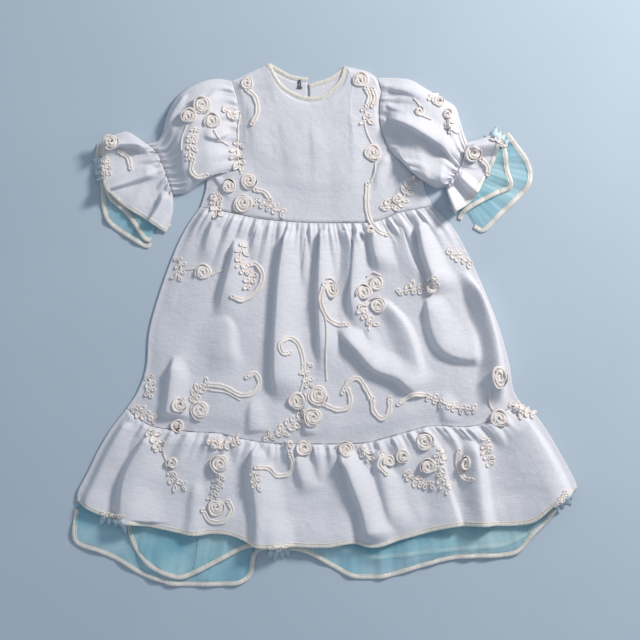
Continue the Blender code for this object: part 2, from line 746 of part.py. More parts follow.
def panel_and_outline(top, bottom, left, right):
    """A patch between four edge lines, and its outline."""
    left = np.vstack([left[:-1], bottom[:1]])
    right = np.vstack([right[:-1], bottom[-1:]])
    outline = joined(left, bottom, right[::-1], top[::-1])
    return Panel(top, bottom, left, right), outline


def hem_line(name, step=1, short=0.0):
    """Where the cloth ends inside the binding of a finished hem."""
    return shifted(edge(name, step), BINDING_WIDTH + 0.5 * GAP + short)


def far_reach(points):
    """Looking distance of a sheet that lies over the edges of other sheets."""
    return np.full(len(points), DRAPE_REACH)


def near_reach(points):
    """Looking distance of a sheet that lies on one flat layer."""
    return np.full(len(points), SEAM_REACH)


def fold_reach(panel):
    """Looking distance that is short at the seams, where two layers meet."""
    def reach(points):
        u, v = panel.locate(points).T
        at_fold = (np.minimum(u, 1 - u) < 0.004) & (v < 0.85)
        return np.where(at_fold | (v < 0.004), SEAM_REACH, DRAPE_REACH)
    return reach


# Bindings, tufts and the hook


def binding(name, line, outward, width, top, ground, cloth):
    """A satin binding along a cloth edge, moved out from the edge's own points."""
    inner = shifted(line, outward * 0.5 * GAP)
    outer = shifted(line, outward * (0.5 * GAP + width))
    vertices, faces = [], []
    for near, far in zip(inner, outer):
        high, low = top.beside(near)
        high = max(high, low + cloth) + BINDING_PROUD
        fall = min(high, low + cloth + BINDING_PROUD + 0.6 * (high - low - cloth))
        vertices += [(*near, low), (*far, low), (*far, fall - 0.3), (*near, high)]
    for start in range(0, len(vertices) - 4, 4):
        for i in range(4):
            a, b = start + i, start + (i + 1) % 4
            faces.append((a, b, b + 4, a + 4))
    last = len(vertices) - 4
    faces += [(3, 2, 1, 0), (last, last + 1, last + 2, last + 3)]
    if outward < 0:
        faces = [tuple(reversed(face)) for face in faces]
    piece = solid(name, vertices, faces, "satin")
    ground.add([tuple(v) for v in vertices], faces)
    return piece


def tuft(name, ground):
    """A ribbon knot with pointed organza tips, lying on what is below it."""
    x, y, reach, angle = TUFTS[name]
    outline = []
    for index in range(2 * TUFT_POINTS):
        turn = math.radians(angle) + math.pi * index / TUFT_POINTS
        long = 0.75 + 0.25 * math.cos(turn - math.radians(angle))
        radius = reach * long if index % 2 == 0 else 0.45 * reach
        outline.append((x + radius * math.cos(turn), y + radius * math.sin(turn)))
    knot = [(a, b) for a, b, _ in ring(x, y, 0.22 * reach, 5, 0.0)]
    points, faces = triangles(np.array(outline), np.array(knot))
    base = ground.level(points, np.full(len(points), 0.5 * reach))
    heights = np.where(np.hypot(points[:, 0] - x, points[:, 1] - y) < 0.3 * reach,
                       TUFT_KNOT, TUFT_BASE)
    wall(name, points, faces, base + heights, base, "ribbon")


def hook(ground):
    """The small hook on the inner face of the left back."""
    x, y = HOOK_CENTRE
    width, length, height = HOOK_SIZE
    outline = [(x + sx * width / 2, y + sy * length / 2)
               for sx, sy in ((-1, -1), (1, -1), (1, 0.6), (0.4, 1), (-0.4, 1), (-1, 0.6))]
    points, faces = triangles(np.array(outline), np.empty((0, 2)))
    base = float(ground.level(np.array([HOOK_CENTRE]), np.array([1.0]))[0])
    wall("neck_hook", points, faces, np.full(len(points), base + height),
         np.full(len(points), base), "steel")


# The gown's sub-assemblies


def build_back(ground):
    """The back layers, which lie flat on the surface."""
    waist = edge("waist", 4)
    cut = np.searchsorted(waist[:, 0], SLIT_LEFT_X)
    slit_foot = np.interp(SLIT_LEFT_X, waist[:, 0], waist[:, 1])
    neck_left = shifted(edge("neck_back_left"), -NECK_BINDING_WIDTH - 0.5 * GAP)
    neck_right = shifted(edge("neck_back_right"), -NECK_BINDING_WIDTH - 0.5 * GAP)
    neck_left[-1, 0] = SLIT_LEFT_X
    neck_right[0, 0] = SLIT_RIGHT_X
    slit_left = np.array([[SLIT_LEFT_X, slit_foot], neck_left[-1]])
    slit_right = np.array([neck_right[0], [SLIT_RIGHT_X, slit_foot]])
    shoulder_left = np.vstack([neck_left[:1], edge("shoulder_left")[1:]])
    shoulder_right = np.vstack([neck_right[-1:], edge("shoulder_right")[1:]])
    left = joined(edge("side_left"), np.vstack([waist[:cut], slit_left[:1]]), slit_left,
                  neck_left[::-1], shoulder_left, edge("armhole_left", 2))
    right = joined(slit_right, np.vstack([slit_right[1:], waist[cut:]]),
                   edge("side_right")[::-1], edge("armhole_right", 2)[::-1],
                   shoulder_right[::-1], neck_right[::-1])
    skirt = panel_and_outline(waist, edge("tier", 4), edge("skirt_left"), edge("skirt_right"))[1]
    flounce = panel_and_outline(edge("tier", 4), hem_line("hem", 2, BACK_HEM_SHORT),
                                edge("flounce_left"), edge("flounce_right"))[1]
    tops = {}
    for name, outline in (("bodice_back_left", left), ("bodice_back_right", right),
                          ("skirt_back", skirt), ("flounce_back", flounce)):
        sheet = Sheet(name, outline, np.empty((0, 2)), LINEN, "linen", flat)
        tops[name] = sheet.build(ground)
    binding("neck_binding_back_left", neck_left, 1, NECK_BINDING_WIDTH,
            tops["bodice_back_left"], ground, LINEN)
    binding("neck_binding_back_right", neck_right, 1, NECK_BINDING_WIDTH,
            tops["bodice_back_right"], ground, LINEN)
    binding("hem_binding_back", hem_line("hem", 2, BACK_HEM_SHORT), -1, BINDING_WIDTH,
            tops["flounce_back"], ground, LINEN)


def build_organza(ground):
    """The two sheer underflounces, back one first."""
    rows = ((0.15, 14), (0.4, 18), (0.6, 22), (0.75, 28), (0.88, 34))
    for side, waves, seed in (("back", 14, 21), ("front", 16, 22)):
        top = smooth_line([edge(f"organza_{side}_left")[0], (-180, -158), (-84, -170), (43, -172),
                           (111, -157), (192, -149), edge(f"organza_{side}_right")[0]], 20)
        bottom = hem_line(f"organza_{side}_hem")
        panel, outline = panel_and_outline(top, bottom, edge(f"organza_{side}_left"),
                                           edge(f"organza_{side}_right"))
        sheet = Sheet(f"organza_{side}", outline, grid(panel, rows), ORGANZA, "organza",
                      organza_lift(panel, waves, seed))
        laid = sheet.build(ground, far_reach)
        binding(f"organza_binding_{side}", bottom, -1, BINDING_WIDTH, laid, ground, ORGANZA)


def build_skirt(ground):
    """The gathered skirt front and the gathered flounce below it."""
    panel, outline = panel_and_outline(edge("waist"), edge("tier"), edge("skirt_left"),
                                       edge("skirt_right"))
    rows = ((0.03, 44), (0.09, 44), (0.18, 44), (0.3, 44), (0.44, 30), (0.58, 30), (0.72, 30),
            (0.85, 30), (0.95, 30))
    skirt = Sheet("skirt_front", outline, grid(panel, rows, FOLD_COLUMN), LINEN, "linen",
                  skirt_lift(panel))
    skirt.applique()
    skirt.build(ground, near_reach)
    bottom = hem_line("hem")
    panel, outline = panel_and_outline(edge("tier"), bottom, edge("flounce_left"),
                                       edge("flounce_right"))
    rows = ((0.06, 52), (0.18, 52), (0.36, 52), (0.56, 40), (0.76, 40), (0.92, 40))
    flounce = Sheet("flounce_front", outline, grid(panel, rows, FOLD_COLUMN), LINEN, "linen",
                    flounce_lift(panel))
    flounce.applique()
    laid = flounce.build(ground, fold_reach(panel))
    binding("hem_binding_front", bottom, -1, BINDING_WIDTH, laid, ground, LINEN)


def build_bodice(ground):
    """The bodice front and its neck binding."""
    neck = shifted(edge("neck_front"), -NECK_BINDING_WIDTH - 0.5 * GAP)
    shoulder_left = np.vstack([neck[:1], edge("shoulder_left")[1:]])
    shoulder_right = np.vstack([neck[-1:], edge("shoulder_right")[1:]])
    outline = joined(edge("side_left"), edge("waist"), edge("side_right")[::-1],
                     edge("armhole_right")[::-1], shoulder_right[::-1], neck[::-1],
                     shoulder_left, edge("armhole_left"))
    spacing = 20.0
    low, high = outline.min(axis=0), outline.max(axis=0)
    inside = [(x, y) for y in np.arange(low[1] + spacing / 2, high[1], spacing)
              for x in np.arange(low[0] + spacing / 2, high[0], spacing)
              if inside_by((x, y), outline, 6.0)]
    sheet = Sheet("bodice_front", outline, np.array(inside), LINEN, "linen",
                  bodice_lift(outline))
    sheet.applique()
    laid = sheet.build(ground, near_reach)
    binding("neck_binding_front", neck, 1, NECK_BINDING_WIDTH, laid, ground, LINEN)


def build_sleeve(side, table, seed, ground):
    """One puff sleeve with its two layers of cuff flounces."""
    name = f"sleeve_{side}"
    edges = [edge(f"armhole_{side}"), edge(f"{name}_gather"), edge(f"{name}_top"),
             edge(f"{name}_bottom")]
    panel, outline = panel_and_outline(*edges)
    sparse = panel_and_outline(edges[0][::2], edges[1][::2], *edges[2:])[1]
    nothing = np.empty((0, 2))
    Sheet(f"{name}_under", sparse, nothing, LINEN, "linen", flat).build(ground)
    build_cuff(side, seed, ground)
    rows = ((0.07, 24), (0.19, 24), (0.36, 20), (0.55, 20), (0.74, 24), (0.9, 24))
    upper = Sheet(f"{name}_upper", outline, grid(panel, rows, 3.0), LINEN, "linen",
                  sleeve_lift(panel, table, seed))
    upper.applique()
    upper.build(ground, near_reach)


def build_cuff(side, seed, ground):
    """The linen and organza flounces of one cuff, from the lowest layer up."""
    name = f"cuff_{side}"
    gather = edge(f"sleeve_{side}_gather")
    sides = edge(f"{name}_top"), edge(f"{name}_bottom")
    hem_side = 1 if side == "left" else -1
    near_hem = BINDING_WIDTH + 0.5 * GAP
    for layer in ("under", "upper"):
        short = BACK_HEM_SHORT if layer == "under" else 0.0
        hem = shifted(edge(f"{name}_hem"), hem_side * (near_hem + short))
        if layer == "upper":
            build_cuff_organza(side, seed, ground, gather, sides)
        panel, outline = panel_and_outline(gather, hem, *sides)
        if layer == "under":
            outline = panel_and_outline(gather[::2], hem[::2], *sides)[1]
            sheet = Sheet(f"{name}_under", outline, np.empty((0, 2)), LINEN, "linen", flat)
            hem = hem[::2]
        else:
            rows = ((0.12, 24), (0.35, 18), (0.62, 18), (0.86, 18))
            sheet = Sheet(f"{name}_upper", outline, grid(panel, rows), LINEN, "linen",
                          cuff_lift(panel, seed))
            sheet.applique()
        laid = sheet.build(ground, fold_reach(panel) if layer == "upper" else None)
        binding(f"{name}_binding_{layer}", hem, -hem_side, BINDING_WIDTH, laid, ground, LINEN)


def build_cuff_organza(side, seed, ground, gather, sides):
    """The two sheer layers inside one cuff."""
    name = f"cuff_{side}"
    hem_side = 1 if side == "left" else -1
    outer = Panel(gather, edge(f"{name}_hem"), *sides)
    start = outer.place(np.linspace(0.12, 0.88, 11), np.full(11, 0.2))
    for layer in ("under", "upper"):
        finished = edge(f"{name}_organza_{layer}_hem")
        hem = shifted(finished, hem_side * (BINDING_WIDTH + 0.5 * GAP))
        left = smooth_line([start[0], 0.5 * (start[0] + hem[0]), hem[0]], 3)
        right = smooth_line([start[-1], 0.5 * (start[-1] + hem[-1]), hem[-1]], 3)
        panel, outline = panel_and_outline(start, hem, left, right)
        sheet = Sheet(f"{name}_organza_{layer}", outline,
                      grid(panel, ((0.4, 10), (0.7, 14))), ORGANZA, "organza",
                      organza_lift(panel, 5, seed + 3))
        laid = sheet.build(ground, far_reach)
        binding(f"{name}_organza_binding_{layer}", hem, -hem_side, BINDING_WIDTH, laid, ground,
                ORGANZA)


def build_gown():
    """Lay the gown's pieces down, lowest layer first."""
    clear_scene()
    ground = Ground()
    build_back(ground)
    hook(ground)
    build_organza(ground)
    build_skirt(ground)
    build_bodice(ground)
    build_sleeve("left", SLEEVE_LEFT_FOLDS, 31, ground)
    build_sleeve("right", SLEEVE_RIGHT_FOLDS, 41, ground)
    for name in TUFTS:
        tuft(name, ground)


build_gown()
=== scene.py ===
"""Looks of a child's christening gown that lies flat on its back.

White slubbed linen panels with cream ribbon roses, leaves and scrolls, puff sleeves, a gathered
skirt and a gathered hem flounce, over sheer aqua underflounces. All hems are bound in cream satin.

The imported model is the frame. Tables and shapes count in millimetres, in that frame, with +Z up
and +Y towards the neck, and each mesh is written in metres.
"""

import logging
import math
from dataclasses import dataclass, field
from enum import Enum
from typing import Callable, Sequence

import bpy
import numpy as np
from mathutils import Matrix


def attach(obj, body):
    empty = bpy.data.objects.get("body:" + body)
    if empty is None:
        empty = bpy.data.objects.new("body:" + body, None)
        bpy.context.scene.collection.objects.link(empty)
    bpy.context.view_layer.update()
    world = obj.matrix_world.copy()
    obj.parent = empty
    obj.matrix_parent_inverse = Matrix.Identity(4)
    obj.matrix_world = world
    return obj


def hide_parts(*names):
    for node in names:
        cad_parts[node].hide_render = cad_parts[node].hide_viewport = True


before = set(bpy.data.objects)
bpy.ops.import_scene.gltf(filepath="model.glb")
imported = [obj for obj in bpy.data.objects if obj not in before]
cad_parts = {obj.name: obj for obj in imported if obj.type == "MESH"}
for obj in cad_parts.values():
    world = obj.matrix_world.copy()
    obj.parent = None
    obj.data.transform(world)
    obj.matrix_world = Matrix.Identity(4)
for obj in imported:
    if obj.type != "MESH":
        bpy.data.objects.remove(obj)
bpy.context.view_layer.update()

Array = np.ndarray
Point = tuple[float, float]
Triple = tuple[float, float, float]
Faces = list[tuple[int, ...]]
Rise = tuple[Array, Array]
Socket = bpy.types.NodeSocket
Piece = bpy.types.Object
log = logging.getLogger("gown")

MILLIMETRE = 0.001
THREAD_MAP = "thread"

# Thickness of each cloth as it shows, and the air between two layers
LINEN = 0.8
ORGANZA = 0.35
CLEARANCE = 0.12

# Satin bindings
BINDING_WIDTH = 5.15
NECK_BINDING_WIDTH = 4.65
BINDING_HEIGHT = 0.95
BACK_HEM_SHORT = 8.0

# Heights above what is below that no fold and no puff passes
HIGHEST_FOLD = 34.0
HIGHEST_PUFF = 36.0

# Gathers at a sleeve's armhole, at its elastic, and at a cuff: number, height and reach
SLEEVE_GATHERS = 9
CUFF_GATHERS = 8
CAP_HEIGHT, CAP_REACH = 3.4, 0.42
WRIST_HEIGHT, WRIST_REACH = 4.4, 0.34
CUFF_HEIGHT, CUFF_REACH = 4.0, 0.5
FINE_PLEAT_HEIGHT = 1.6

# Each edge line of the gown: how many stretches it is cut into, then its x, y points
EDGE_LINES: dict[str, tuple[int, tuple[Point, ...]]] = {
    "waist": (240, (
        (-168, 159), (-138, 153), (-114, 148), (-82, 142), (-33, 138), (14, 137), (60, 138),
        (83, 144), (103, 152), (145, 160))),
    "tier": (300, (
        (-268, -113), (-249, -128), (-227, -138), (-180, -144), (-144, -146), (-114, -153),
        (-84, -158), (-44, -160), (43, -160), (79, -153), (111, -144), (146, -136), (192, -137),
        (223, -129), (245, -114), (265, -107))),
    "skirt_left": (60, (
        (-168, 159), (-186, 133), (-202, 101), (-222, 47), (-237, -7), (-241, -55), (-252, -88),
        (-268, -113))),
    "skirt_right": (60, (
        (145, 160), (171, 133), (190, 101), (215, 47), (236, -7), (249, -55), (254, -88),
        (265, -107))),
    "flounce_left": (40, (
        (-268, -113), (-290, -142), (-306, -169), (-319, -196), (-333, -223), (-335, -236))),
    "flounce_right": (40, (
        (265, -107), (281, -118), (299, -142), (315, -169), (330, -196), (341, -219))),
    "hem": (300, (
        (-335, -236), (-314, -250), (-281, -264), (-237, -271), (-180, -283), (-151, -281),
        (-125, -284), (-87, -298), (-49, -298), (2, -299), (37, -294), (68, -299), (106, -288),
        (169, -272), (219, -270), (253, -270), (280, -265), (303, -245), (329, -229),
        (341, -219))),
    "shoulder_left": (12, ((-74, 353), (-98, 342), (-126, 329))),
    "armhole_left": (80, (
        (-126, 329), (-118, 303), (-115, 269), (-116, 236), (-119, 211), (-138, 207),
        (-159, 206))),
    "side_left": (20, ((-159, 206), (-161, 182), (-168, 159))),
    "shoulder_right": (12, ((25, 349), (56, 342), (70, 333))),
    "armhole_right": (80, (
        (70, 333), (76, 317), (74, 299), (74, 275), (80, 252), (90, 232), (101, 221), (115, 207),
        (132, 194))),
    "side_right": (20, ((132, 194), (136, 178), (145, 160))),
    "neck_front": (90, (
        (-74, 353), (-65, 335), (-56, 323), (-40, 313), (-22, 308), (-5, 310), (10, 321),
        (20, 333), (25, 349))),
    "neck_back_left": (30, ((-74, 353), (-60, 345), (-47, 338), (-33, 335), (-24, 334))),
    "neck_back_right": (30, ((-21, 325), (-13, 328), (1, 332), (13, 339), (25, 349))),
    "sleeve_left_top": (70, (
        (-126, 329), (-144, 332), (-161, 330), (-179, 323), (-194, 313), (-206, 298), (-214, 280),
        (-219, 260), (-227, 248), (-240, 244))),
    "sleeve_left_gather": (80, ((-240, 244), (-227, 233), (-218, 213), (-211, 194), (-205, 176))),
    "sleeve_left_bottom": (40, ((-159, 206), (-164, 195), (-175, 186), (-188, 178), (-205, 176))),
    "cuff_left_top": (30, ((-240, 244), (-254, 254), (-268, 261), (-283, 257), (-296, 250))),
    "cuff_left_bottom": (30, ((-205, 176), (-205, 155), (-209, 138), (-215, 124))),
    "cuff_left_hem": (90, (
        (-296, 250), (-299, 236), (-300, 215), (-298, 192), (-287, 175), (-271, 160), (-242, 142),
        (-215, 124))),
    "cuff_left_organza_upper_hem": (90, (
        (-302, 246), (-303, 222), (-299, 192), (-290, 168), (-271, 151), (-257, 133), (-245, 115),
        (-236, 111))),
    "cuff_left_organza_under_hem": (90, (
        (-307, 245), (-310, 226), (-310, 209), (-303, 190), (-302, 171), (-300, 152), (-290, 134),
        (-267, 118), (-241, 103), (-233, 108))),
    "sleeve_right_top": (70, (
        (70, 333), (88, 333), (114, 331), (134, 320), (156, 307), (175, 295), (182, 276),
        (187, 259), (192, 246))),
    "sleeve_right_gather": (80, ((192, 246), (188, 233), (184, 218), (175, 202), (163, 186))),
    "sleeve_right_bottom": (40, ((132, 194), (142, 188), (152, 184), (163, 186))),
    "cuff_right_top": (30, ((192, 246), (211, 251), (230, 259))),
    "cuff_right_bottom": (30, ((163, 186), (168, 167), (176, 149))),
    "cuff_right_hem": (90, (
        (230, 259), (234, 238), (226, 215), (215, 196), (205, 175), (190, 160), (176, 149))),
    "cuff_right_organza_upper_hem": (90, (
        (237, 259), (245, 236), (248, 211), (253, 186), (232, 175), (210, 164), (191, 152),
        (184, 141))),
    "cuff_right_organza_under_hem": (90, (
        (248, 260), (263, 240), (275, 222), (280, 202), (275, 184), (259, 167), (237, 146),
        (215, 125), (200, 130))),
    "organza_front_left": (30, (
        (-250, -141), (-250, -170), (-256, -215), (-266, -250), (-268, -269))),
    "organza_front_right": (30, ((250, -127), (280, -156), (302, -185), (318, -215), (321, -237))),
    "organza_front_hem": (300, (
        (-268, -269), (-259, -298), (-242, -322), (-222, -335), (-195, -343), (-168, -333),
        (-133, -315), (-101, -300), (-67, -303), (-29, -306), (9, -327), (34, -340), (56, -343),
        (88, -340), (124, -329), (169, -317), (207, -314), (240, -313), (263, -306), (284, -281),
        (302, -263), (321, -237))),
    "organza_back_left": (30, (
        (-262, -132), (-290, -170), (-318, -215), (-332, -240), (-338, -248))),
    "organza_back_right": (30, ((258, -123), (284, -154), (305, -185), (320, -215), (324, -240))),
    "organza_back_hem": (300, (
        (-338, -248), (-339, -292), (-306, -307), (-279, -319), (-248, -338), (-222, -347),
        (-202, -352), (-133, -352), (-110, -348), (-97, -335), (-90, -307), (-60, -302),
        (-20, -299), (20, -303), (57, -313), (75, -316), (106, -313), (155, -307), (210, -302),
        (250, -296), (288, -272), (324, -240))),
}

# Edges of the back opening, from the neck to the waist
SLIT_LEFT_X = -24.0
SLIT_RIGHT_X = -21.0


class Side(Enum):
    """A side of the gown, as seen from above."""

    LEFT = "left"
    RIGHT = "right"


class Trim(Enum):
    """A way of laying ribbon on the cloth."""

    CORD = "double cord"
    STEM = "thin stem"
    CHAIN = "chain of small leaves"


CORD, STEM, CHAIN = Trim


# Ribbon roses of each panel: x, y and radius
ROSES: dict[str, tuple[Triple, ...]] = {
    "bodice_front": ((-102, 194, 10.8), (-130, 187, 9.5), (-110, 164, 12.8), (-105, 326, 8.8),
                     (48, 330, 10.8), (64, 232, 11.5), (-151, 172, 5.4), (61, 128, 6.1),
                     (98, 169, 6.8)),
    "sleeve_left_upper": ((-164, 294, 12.2), (-182, 279, 10.8), (-151, 273, 10.8)),
    "sleeve_right_upper": ((126, 286, 6.8), (153, 300, 7.4), (164, 283, 6.8)),
    "cuff_left_upper": ((-286, 245, 10.8),),
    "cuff_right_upper": ((199, 230, 10.8),),
    "skirt_front": ((-164, 71, 10.8), (52, 44, 10.8), (68, 56, 9.5), (71, 26, 10.8),
                    (142, 49, 7.4), (-195, -107, 10.8), (-168, -115, 12.2), (-198, -136, 9.5),
                    (-38, -102, 12.2), (-9, -94, 13.5), (-16, -124, 12.2), (234, -125, 12.2)),
    "flounce_front": ((-141, -186, 12.2), (-28, -165, 10.8), (28, -167, 10.8), (133, -156, 12.2),
                      (105, -176, 9.5), (138, -190, 10.8), (86, -183, 8.1), (-206, -186, 8.1),
                      (-148, -160, 6.8), (-146, -245, 11.5), (-47, -160, 5.4)),
}

# Long roses: x, y, radius, length for each unit of width, and angle in degrees
LONG_ROSES: dict[str, tuple[tuple[float, ...], ...]] = {
    "skirt_front": ((9, 49, 9.5, 1.5, 100), (233, -70, 10.8, 1.6, 95)),
    "flounce_front": ((188, -186, 6.8, 1.7, 85),),
}

# Ribbons of each panel: how each is laid, and places along it
TRIMS: dict[str, tuple[tuple[Trim, tuple[Point, ...]], ...]] = {
    "bodice_front": (
        (CORD, ((-105, 317), (-94, 306), (-91, 287), (-98, 271))),
        (STEM, ((-114, 283), (-117, 263), (-117, 246))),
        (CHAIN, ((-117, 246), (-118, 230), (-115, 214))),
        (STEM, ((-115, 215), (-113, 203))),
        (CHAIN, ((-94, 169), (-79, 161), (-61, 153))),
        (CHAIN, ((-140, 176), (-149, 163), (-146, 151))),
        (CORD, ((-94, 182), (-82, 179), (-74, 169))),
        (CORD, ((55, 319), (60, 307), (56, 295))),
        (CORD, ((64, 318), (68, 306), (64, 295))),
        (CHAIN, ((53, 294), (56, 276))),
        (STEM, ((52, 279), (56, 260), (63, 245))),
        (STEM, ((68, 219), (67, 206), (61, 192))),
        (CORD, ((57, 190), (56, 161), (61, 140), (72, 126), (83, 122))),
        (CHAIN, ((92, 155), (105, 172), (117, 191))),
        (CHAIN, ((76, 155), (88, 164))),
    ),
    "sleeve_left_upper": (
        (CHAIN, ((-138, 291), (-124, 283))),
        (CHAIN, ((-172, 263), (-179, 244), (-182, 225))),
        (CORD, ((-176, 221), (-179, 207), (-171, 198), (-159, 200))),
        (STEM, ((-149, 261), (-141, 249), (-129, 241))),
        (STEM, ((-184, 267), (-191, 250), (-192, 233))),
    ),
    "sleeve_right_upper": (
        (STEM, ((119, 304), (126, 295), (128, 287))),
        (STEM, ((130, 280), (142, 275))),
        (CHAIN, ((140, 307), (148, 303))),
        (CHAIN, ((164, 275), (168, 263))),
    ),
    "cuff_left_upper": (
        (CORD, ((-276, 233), (-265, 225), (-261, 211))),
        (CHAIN, ((-298, 222), (-294, 206))),
    ),
    "cuff_right_upper": (
        (CORD, ((210, 222), (218, 214), (219, 203))),
    ),
    "skirt_front": (
        (CHAIN, ((-199, 91), (-194, 79), (-198, 65))),
        (STEM, ((-190, 74), (-175, 76))),
        (STEM, ((-153, 67), (-138, 74))),
        (CHAIN, ((-109, 109), (-114, 91), (-111, 74))),
        (CORD, ((-102, 81), (-93, 82), (-84, 67), (-91, 47), (-110, 34), (-124, 38))),
        (CHAIN, ((-108, 72), (-99, 66), (-103, 54))),
        (CORD, ((-1, 55), (-6, 33), (3, 10), (18, 1), (30, 1))),
        (STEM, ((-2, 25), (2, -7), (1, -43), (2, -75))),
        (STEM, ((56, 65), (64, 71), (75, 67))),
        (CHAIN, ((48, 30), (52, 13), (63, 2))),
        (CHAIN, ((97, 44), (113, 47), (134, 49))),
        (CHAIN, ((164, 103), (178, 94), (192, 84))),
        (CHAIN, ((141, 64), (145, 57))),
        (CHAIN, ((-240, -68), (-234, -80), (-238, -92))),
        (CHAIN, ((-260, -110), (-246, -117), (-230, -127))),
        (CHAIN, ((-178, -105), (-171, -91), (-160, -80))),
        (CORD, ((-160, -80), (-136, -83), (-114, -94), (-97, -91), (-88, -78), (-94, -65),
                     (-105, -70))),
        (STEM, ((-155, -88), (-133, -91), (-114, -101))),
        (CHAIN, ((-84, -153), (-63, -145), (-44, -132), (-30, -121))),
        (CORD, ((-47, -37), (-57, -37), (-60, -25), (-49, -17), (-37, -24), (-30, -43),
                     (-29, -64))),
        (STEM, ((-29, -48), (-28, -70), (-33, -88))),
        (CHAIN, ((-21, -51), (-25, -67), (-22, -80))),
        (CORD, ((-1, -107), (17, -114), (32, -110), (34, -97), (29, -83))),
        (CORD, ((24, -91), (32, -76), (45, -72), (55, -86), (63, -102))),
        (CORD, ((64, -99), (65, -115), (76, -126), (86, -117), (87, -98))),
        (CORD, ((99, -106), (117, -94), (137, -94))),
        (CHAIN, ((137, -97), (159, -105), (178, -111), (198, -114))),
        (STEM, ((222, -86), (221, -105), (226, -115))),
        (CHAIN, ((248, -105), (263, -113), (277, -118))),
    ),
    "flounce_front": (
        (CHAIN, ((-238, -142), (-227, -153), (-222, -165))),
        (STEM, ((-214, -156), (-217, -172), (-210, -186), (-199, -187))),
        (CHAIN, ((-207, -196), (-203, -210), (-192, -215))),
        (CHAIN, ((-160, -155), (-141, -161), (-119, -155))),
        (CHAIN, ((-141, -200), (-144, -215), (-151, -230))),
        (CORD, ((-130, -237), (-125, -250), (-137, -264), (-155, -263), (-164, -249))),
        (CORD, ((-92, -190), (-76, -192), (-65, -202), (-49, -200), (-43, -187), (-47, -172))),
        (CHAIN, ((-94, -196), (-92, -213))),
        (STEM, ((-53, -156), (-49, -172))),
        (CHAIN, ((49, -163), (57, -178))),
        (CHAIN, ((109, -196), (121, -210), (141, -215))),
        (CHAIN, ((156, -164), (152, -186), (157, -207), (165, -218))),
        (CORD, ((180, -169), (178, -186), (186, -205), (196, -207))),
        (CHAIN, ((219, -151), (217, -167), (221, -183))),
        (CORD, ((78, -172), (72, -187), (82, -199))),
    ),
}

# Lines and smooth functions


def ease(low: float, high: float, value: Array) -> Array:
    """Ease from 0 at low to 1 at high."""
    t = np.clip((value - low) / (high - low), 0.0, 1.0)
    return t * t * (3.0 - 2.0 * t)


def bump(offset: Array, left: float, right: float) -> Array:
    """A rounded bump of height 1 that ends at left and right of its middle."""
    reach = np.where(offset < 0, left, right)
    return np.cos(0.5 * math.pi * np.clip(offset / reach, -1.0, 1.0)) ** 2


def resample(line: Array, stretches: int) -> Array:
    """The line cut into equal stretches.

    Args:
        line: Rows of coordinates.
        stretches: How many stretches.

    Returns:
        One row for each end of a stretch.
    """
    steps = np.linalg.norm(np.diff(line, axis=0), axis=1)
    lengths = np.concatenate([[0.0], np.cumsum(steps)])
    wanted = np.linspace(0.0, lengths[-1], stretches + 1)
    return np.column_stack([np.interp(wanted, lengths, values) for values in line.T])


def smooth_line(points: Sequence[Point], stretches: int) -> Array:
    """A smooth curve through points.

    Args:
        points: The places that the curve goes through.
        stretches: How many equal stretches it is cut into.

    Returns:
        One row for each point of the curve.
    """
    knots = np.array(points, float)
    padded = np.vstack([2 * knots[0] - knots[1], knots, 2 * knots[-1] - knots[-2]])
    shares = np.linspace(0.0, 1.0, 12, endpoint=False)[:, None]
    dense = []
    for a, b, c, d in zip(padded, padded[1:], padded[2:], padded[3:]):
        square = (2 * a - 5 * b + 4 * c - d) * shares**2
        cube = (3 * b - a - 3 * c + d) * shares**3
        dense.append(0.5 * (2 * b + (c - a) * shares + square + cube))
    return resample(np.vstack([*dense, knots[-1:]]), stretches)


def edge(name: str) -> Array:
    """A named edge line."""
    stretches, points = EDGE_LINES[name]
    return smooth_line(points, stretches)


def sideways(line: Array) -> Array:
    """Unit steps to the left of a line's direction, one for each of its points.

    Args:
        line: Rows of x, y or of x, y, z.

    Returns:
        One step of x, y for each row.
    """
    along = np.gradient(line[:, :2], axis=0)
    along /= np.maximum(np.linalg.norm(along, axis=1), 1e-9)[:, None]
    return np.column_stack([-along[:, 1], along[:, 0]])


def shifted(line: Array, distance: float) -> Array:
    """The line moved sideways, to the left of its direction where distance is positive."""
    return line + distance * sideways(line)


def noise(across: Array, along: Array, seed: int) -> Array:
    """Smooth random waves from -1 to 1, about one wave for each two units.

    Args:
        across: Places along the first axis.
        along: Places along the second axis.
        seed: Start of the random draws.

    Returns:
        Values from -1 to 1.
    """
    cells = 64
    table = np.random.default_rng(seed).uniform(-1.0, 1.0, (cells, cells))
    column, row = np.floor(across).astype(int), np.floor(along).astype(int)
    a, b = across - column, along - row
    a, b = a**3 * (a * (6 * a - 15) + 10), b**3 * (b * (6 * b - 15) + 10)
    left, right = column % cells, (column + 1) % cells
    low, high = row % cells, (row + 1) % cells
    below = (1 - a) * table[low, left] + a * table[low, right]
    above = (1 - a) * table[high, left] + a * table[high, right]
    return (1 - b) * below + b * above


# Cloth seen from above, and the heights it lies at


@dataclass
class Weave:
    """The points of one panel of cloth.

    Attributes:
        u: Share of the panel's width, from its left side to its right.
        v: Share of its length, from the gathered edge to the hem.
        x: Place across the gown.
        y: Place along the gown.
        z: Height above the surface that the gown lies on.
    """

    u: Array
    v: Array
    x: Array
    y: Array
    z: Array

    @property
    def points(self) -> Array:
        """Rows and columns of x, y, z."""
        return np.stack([self.x, self.y, self.z], axis=-1)


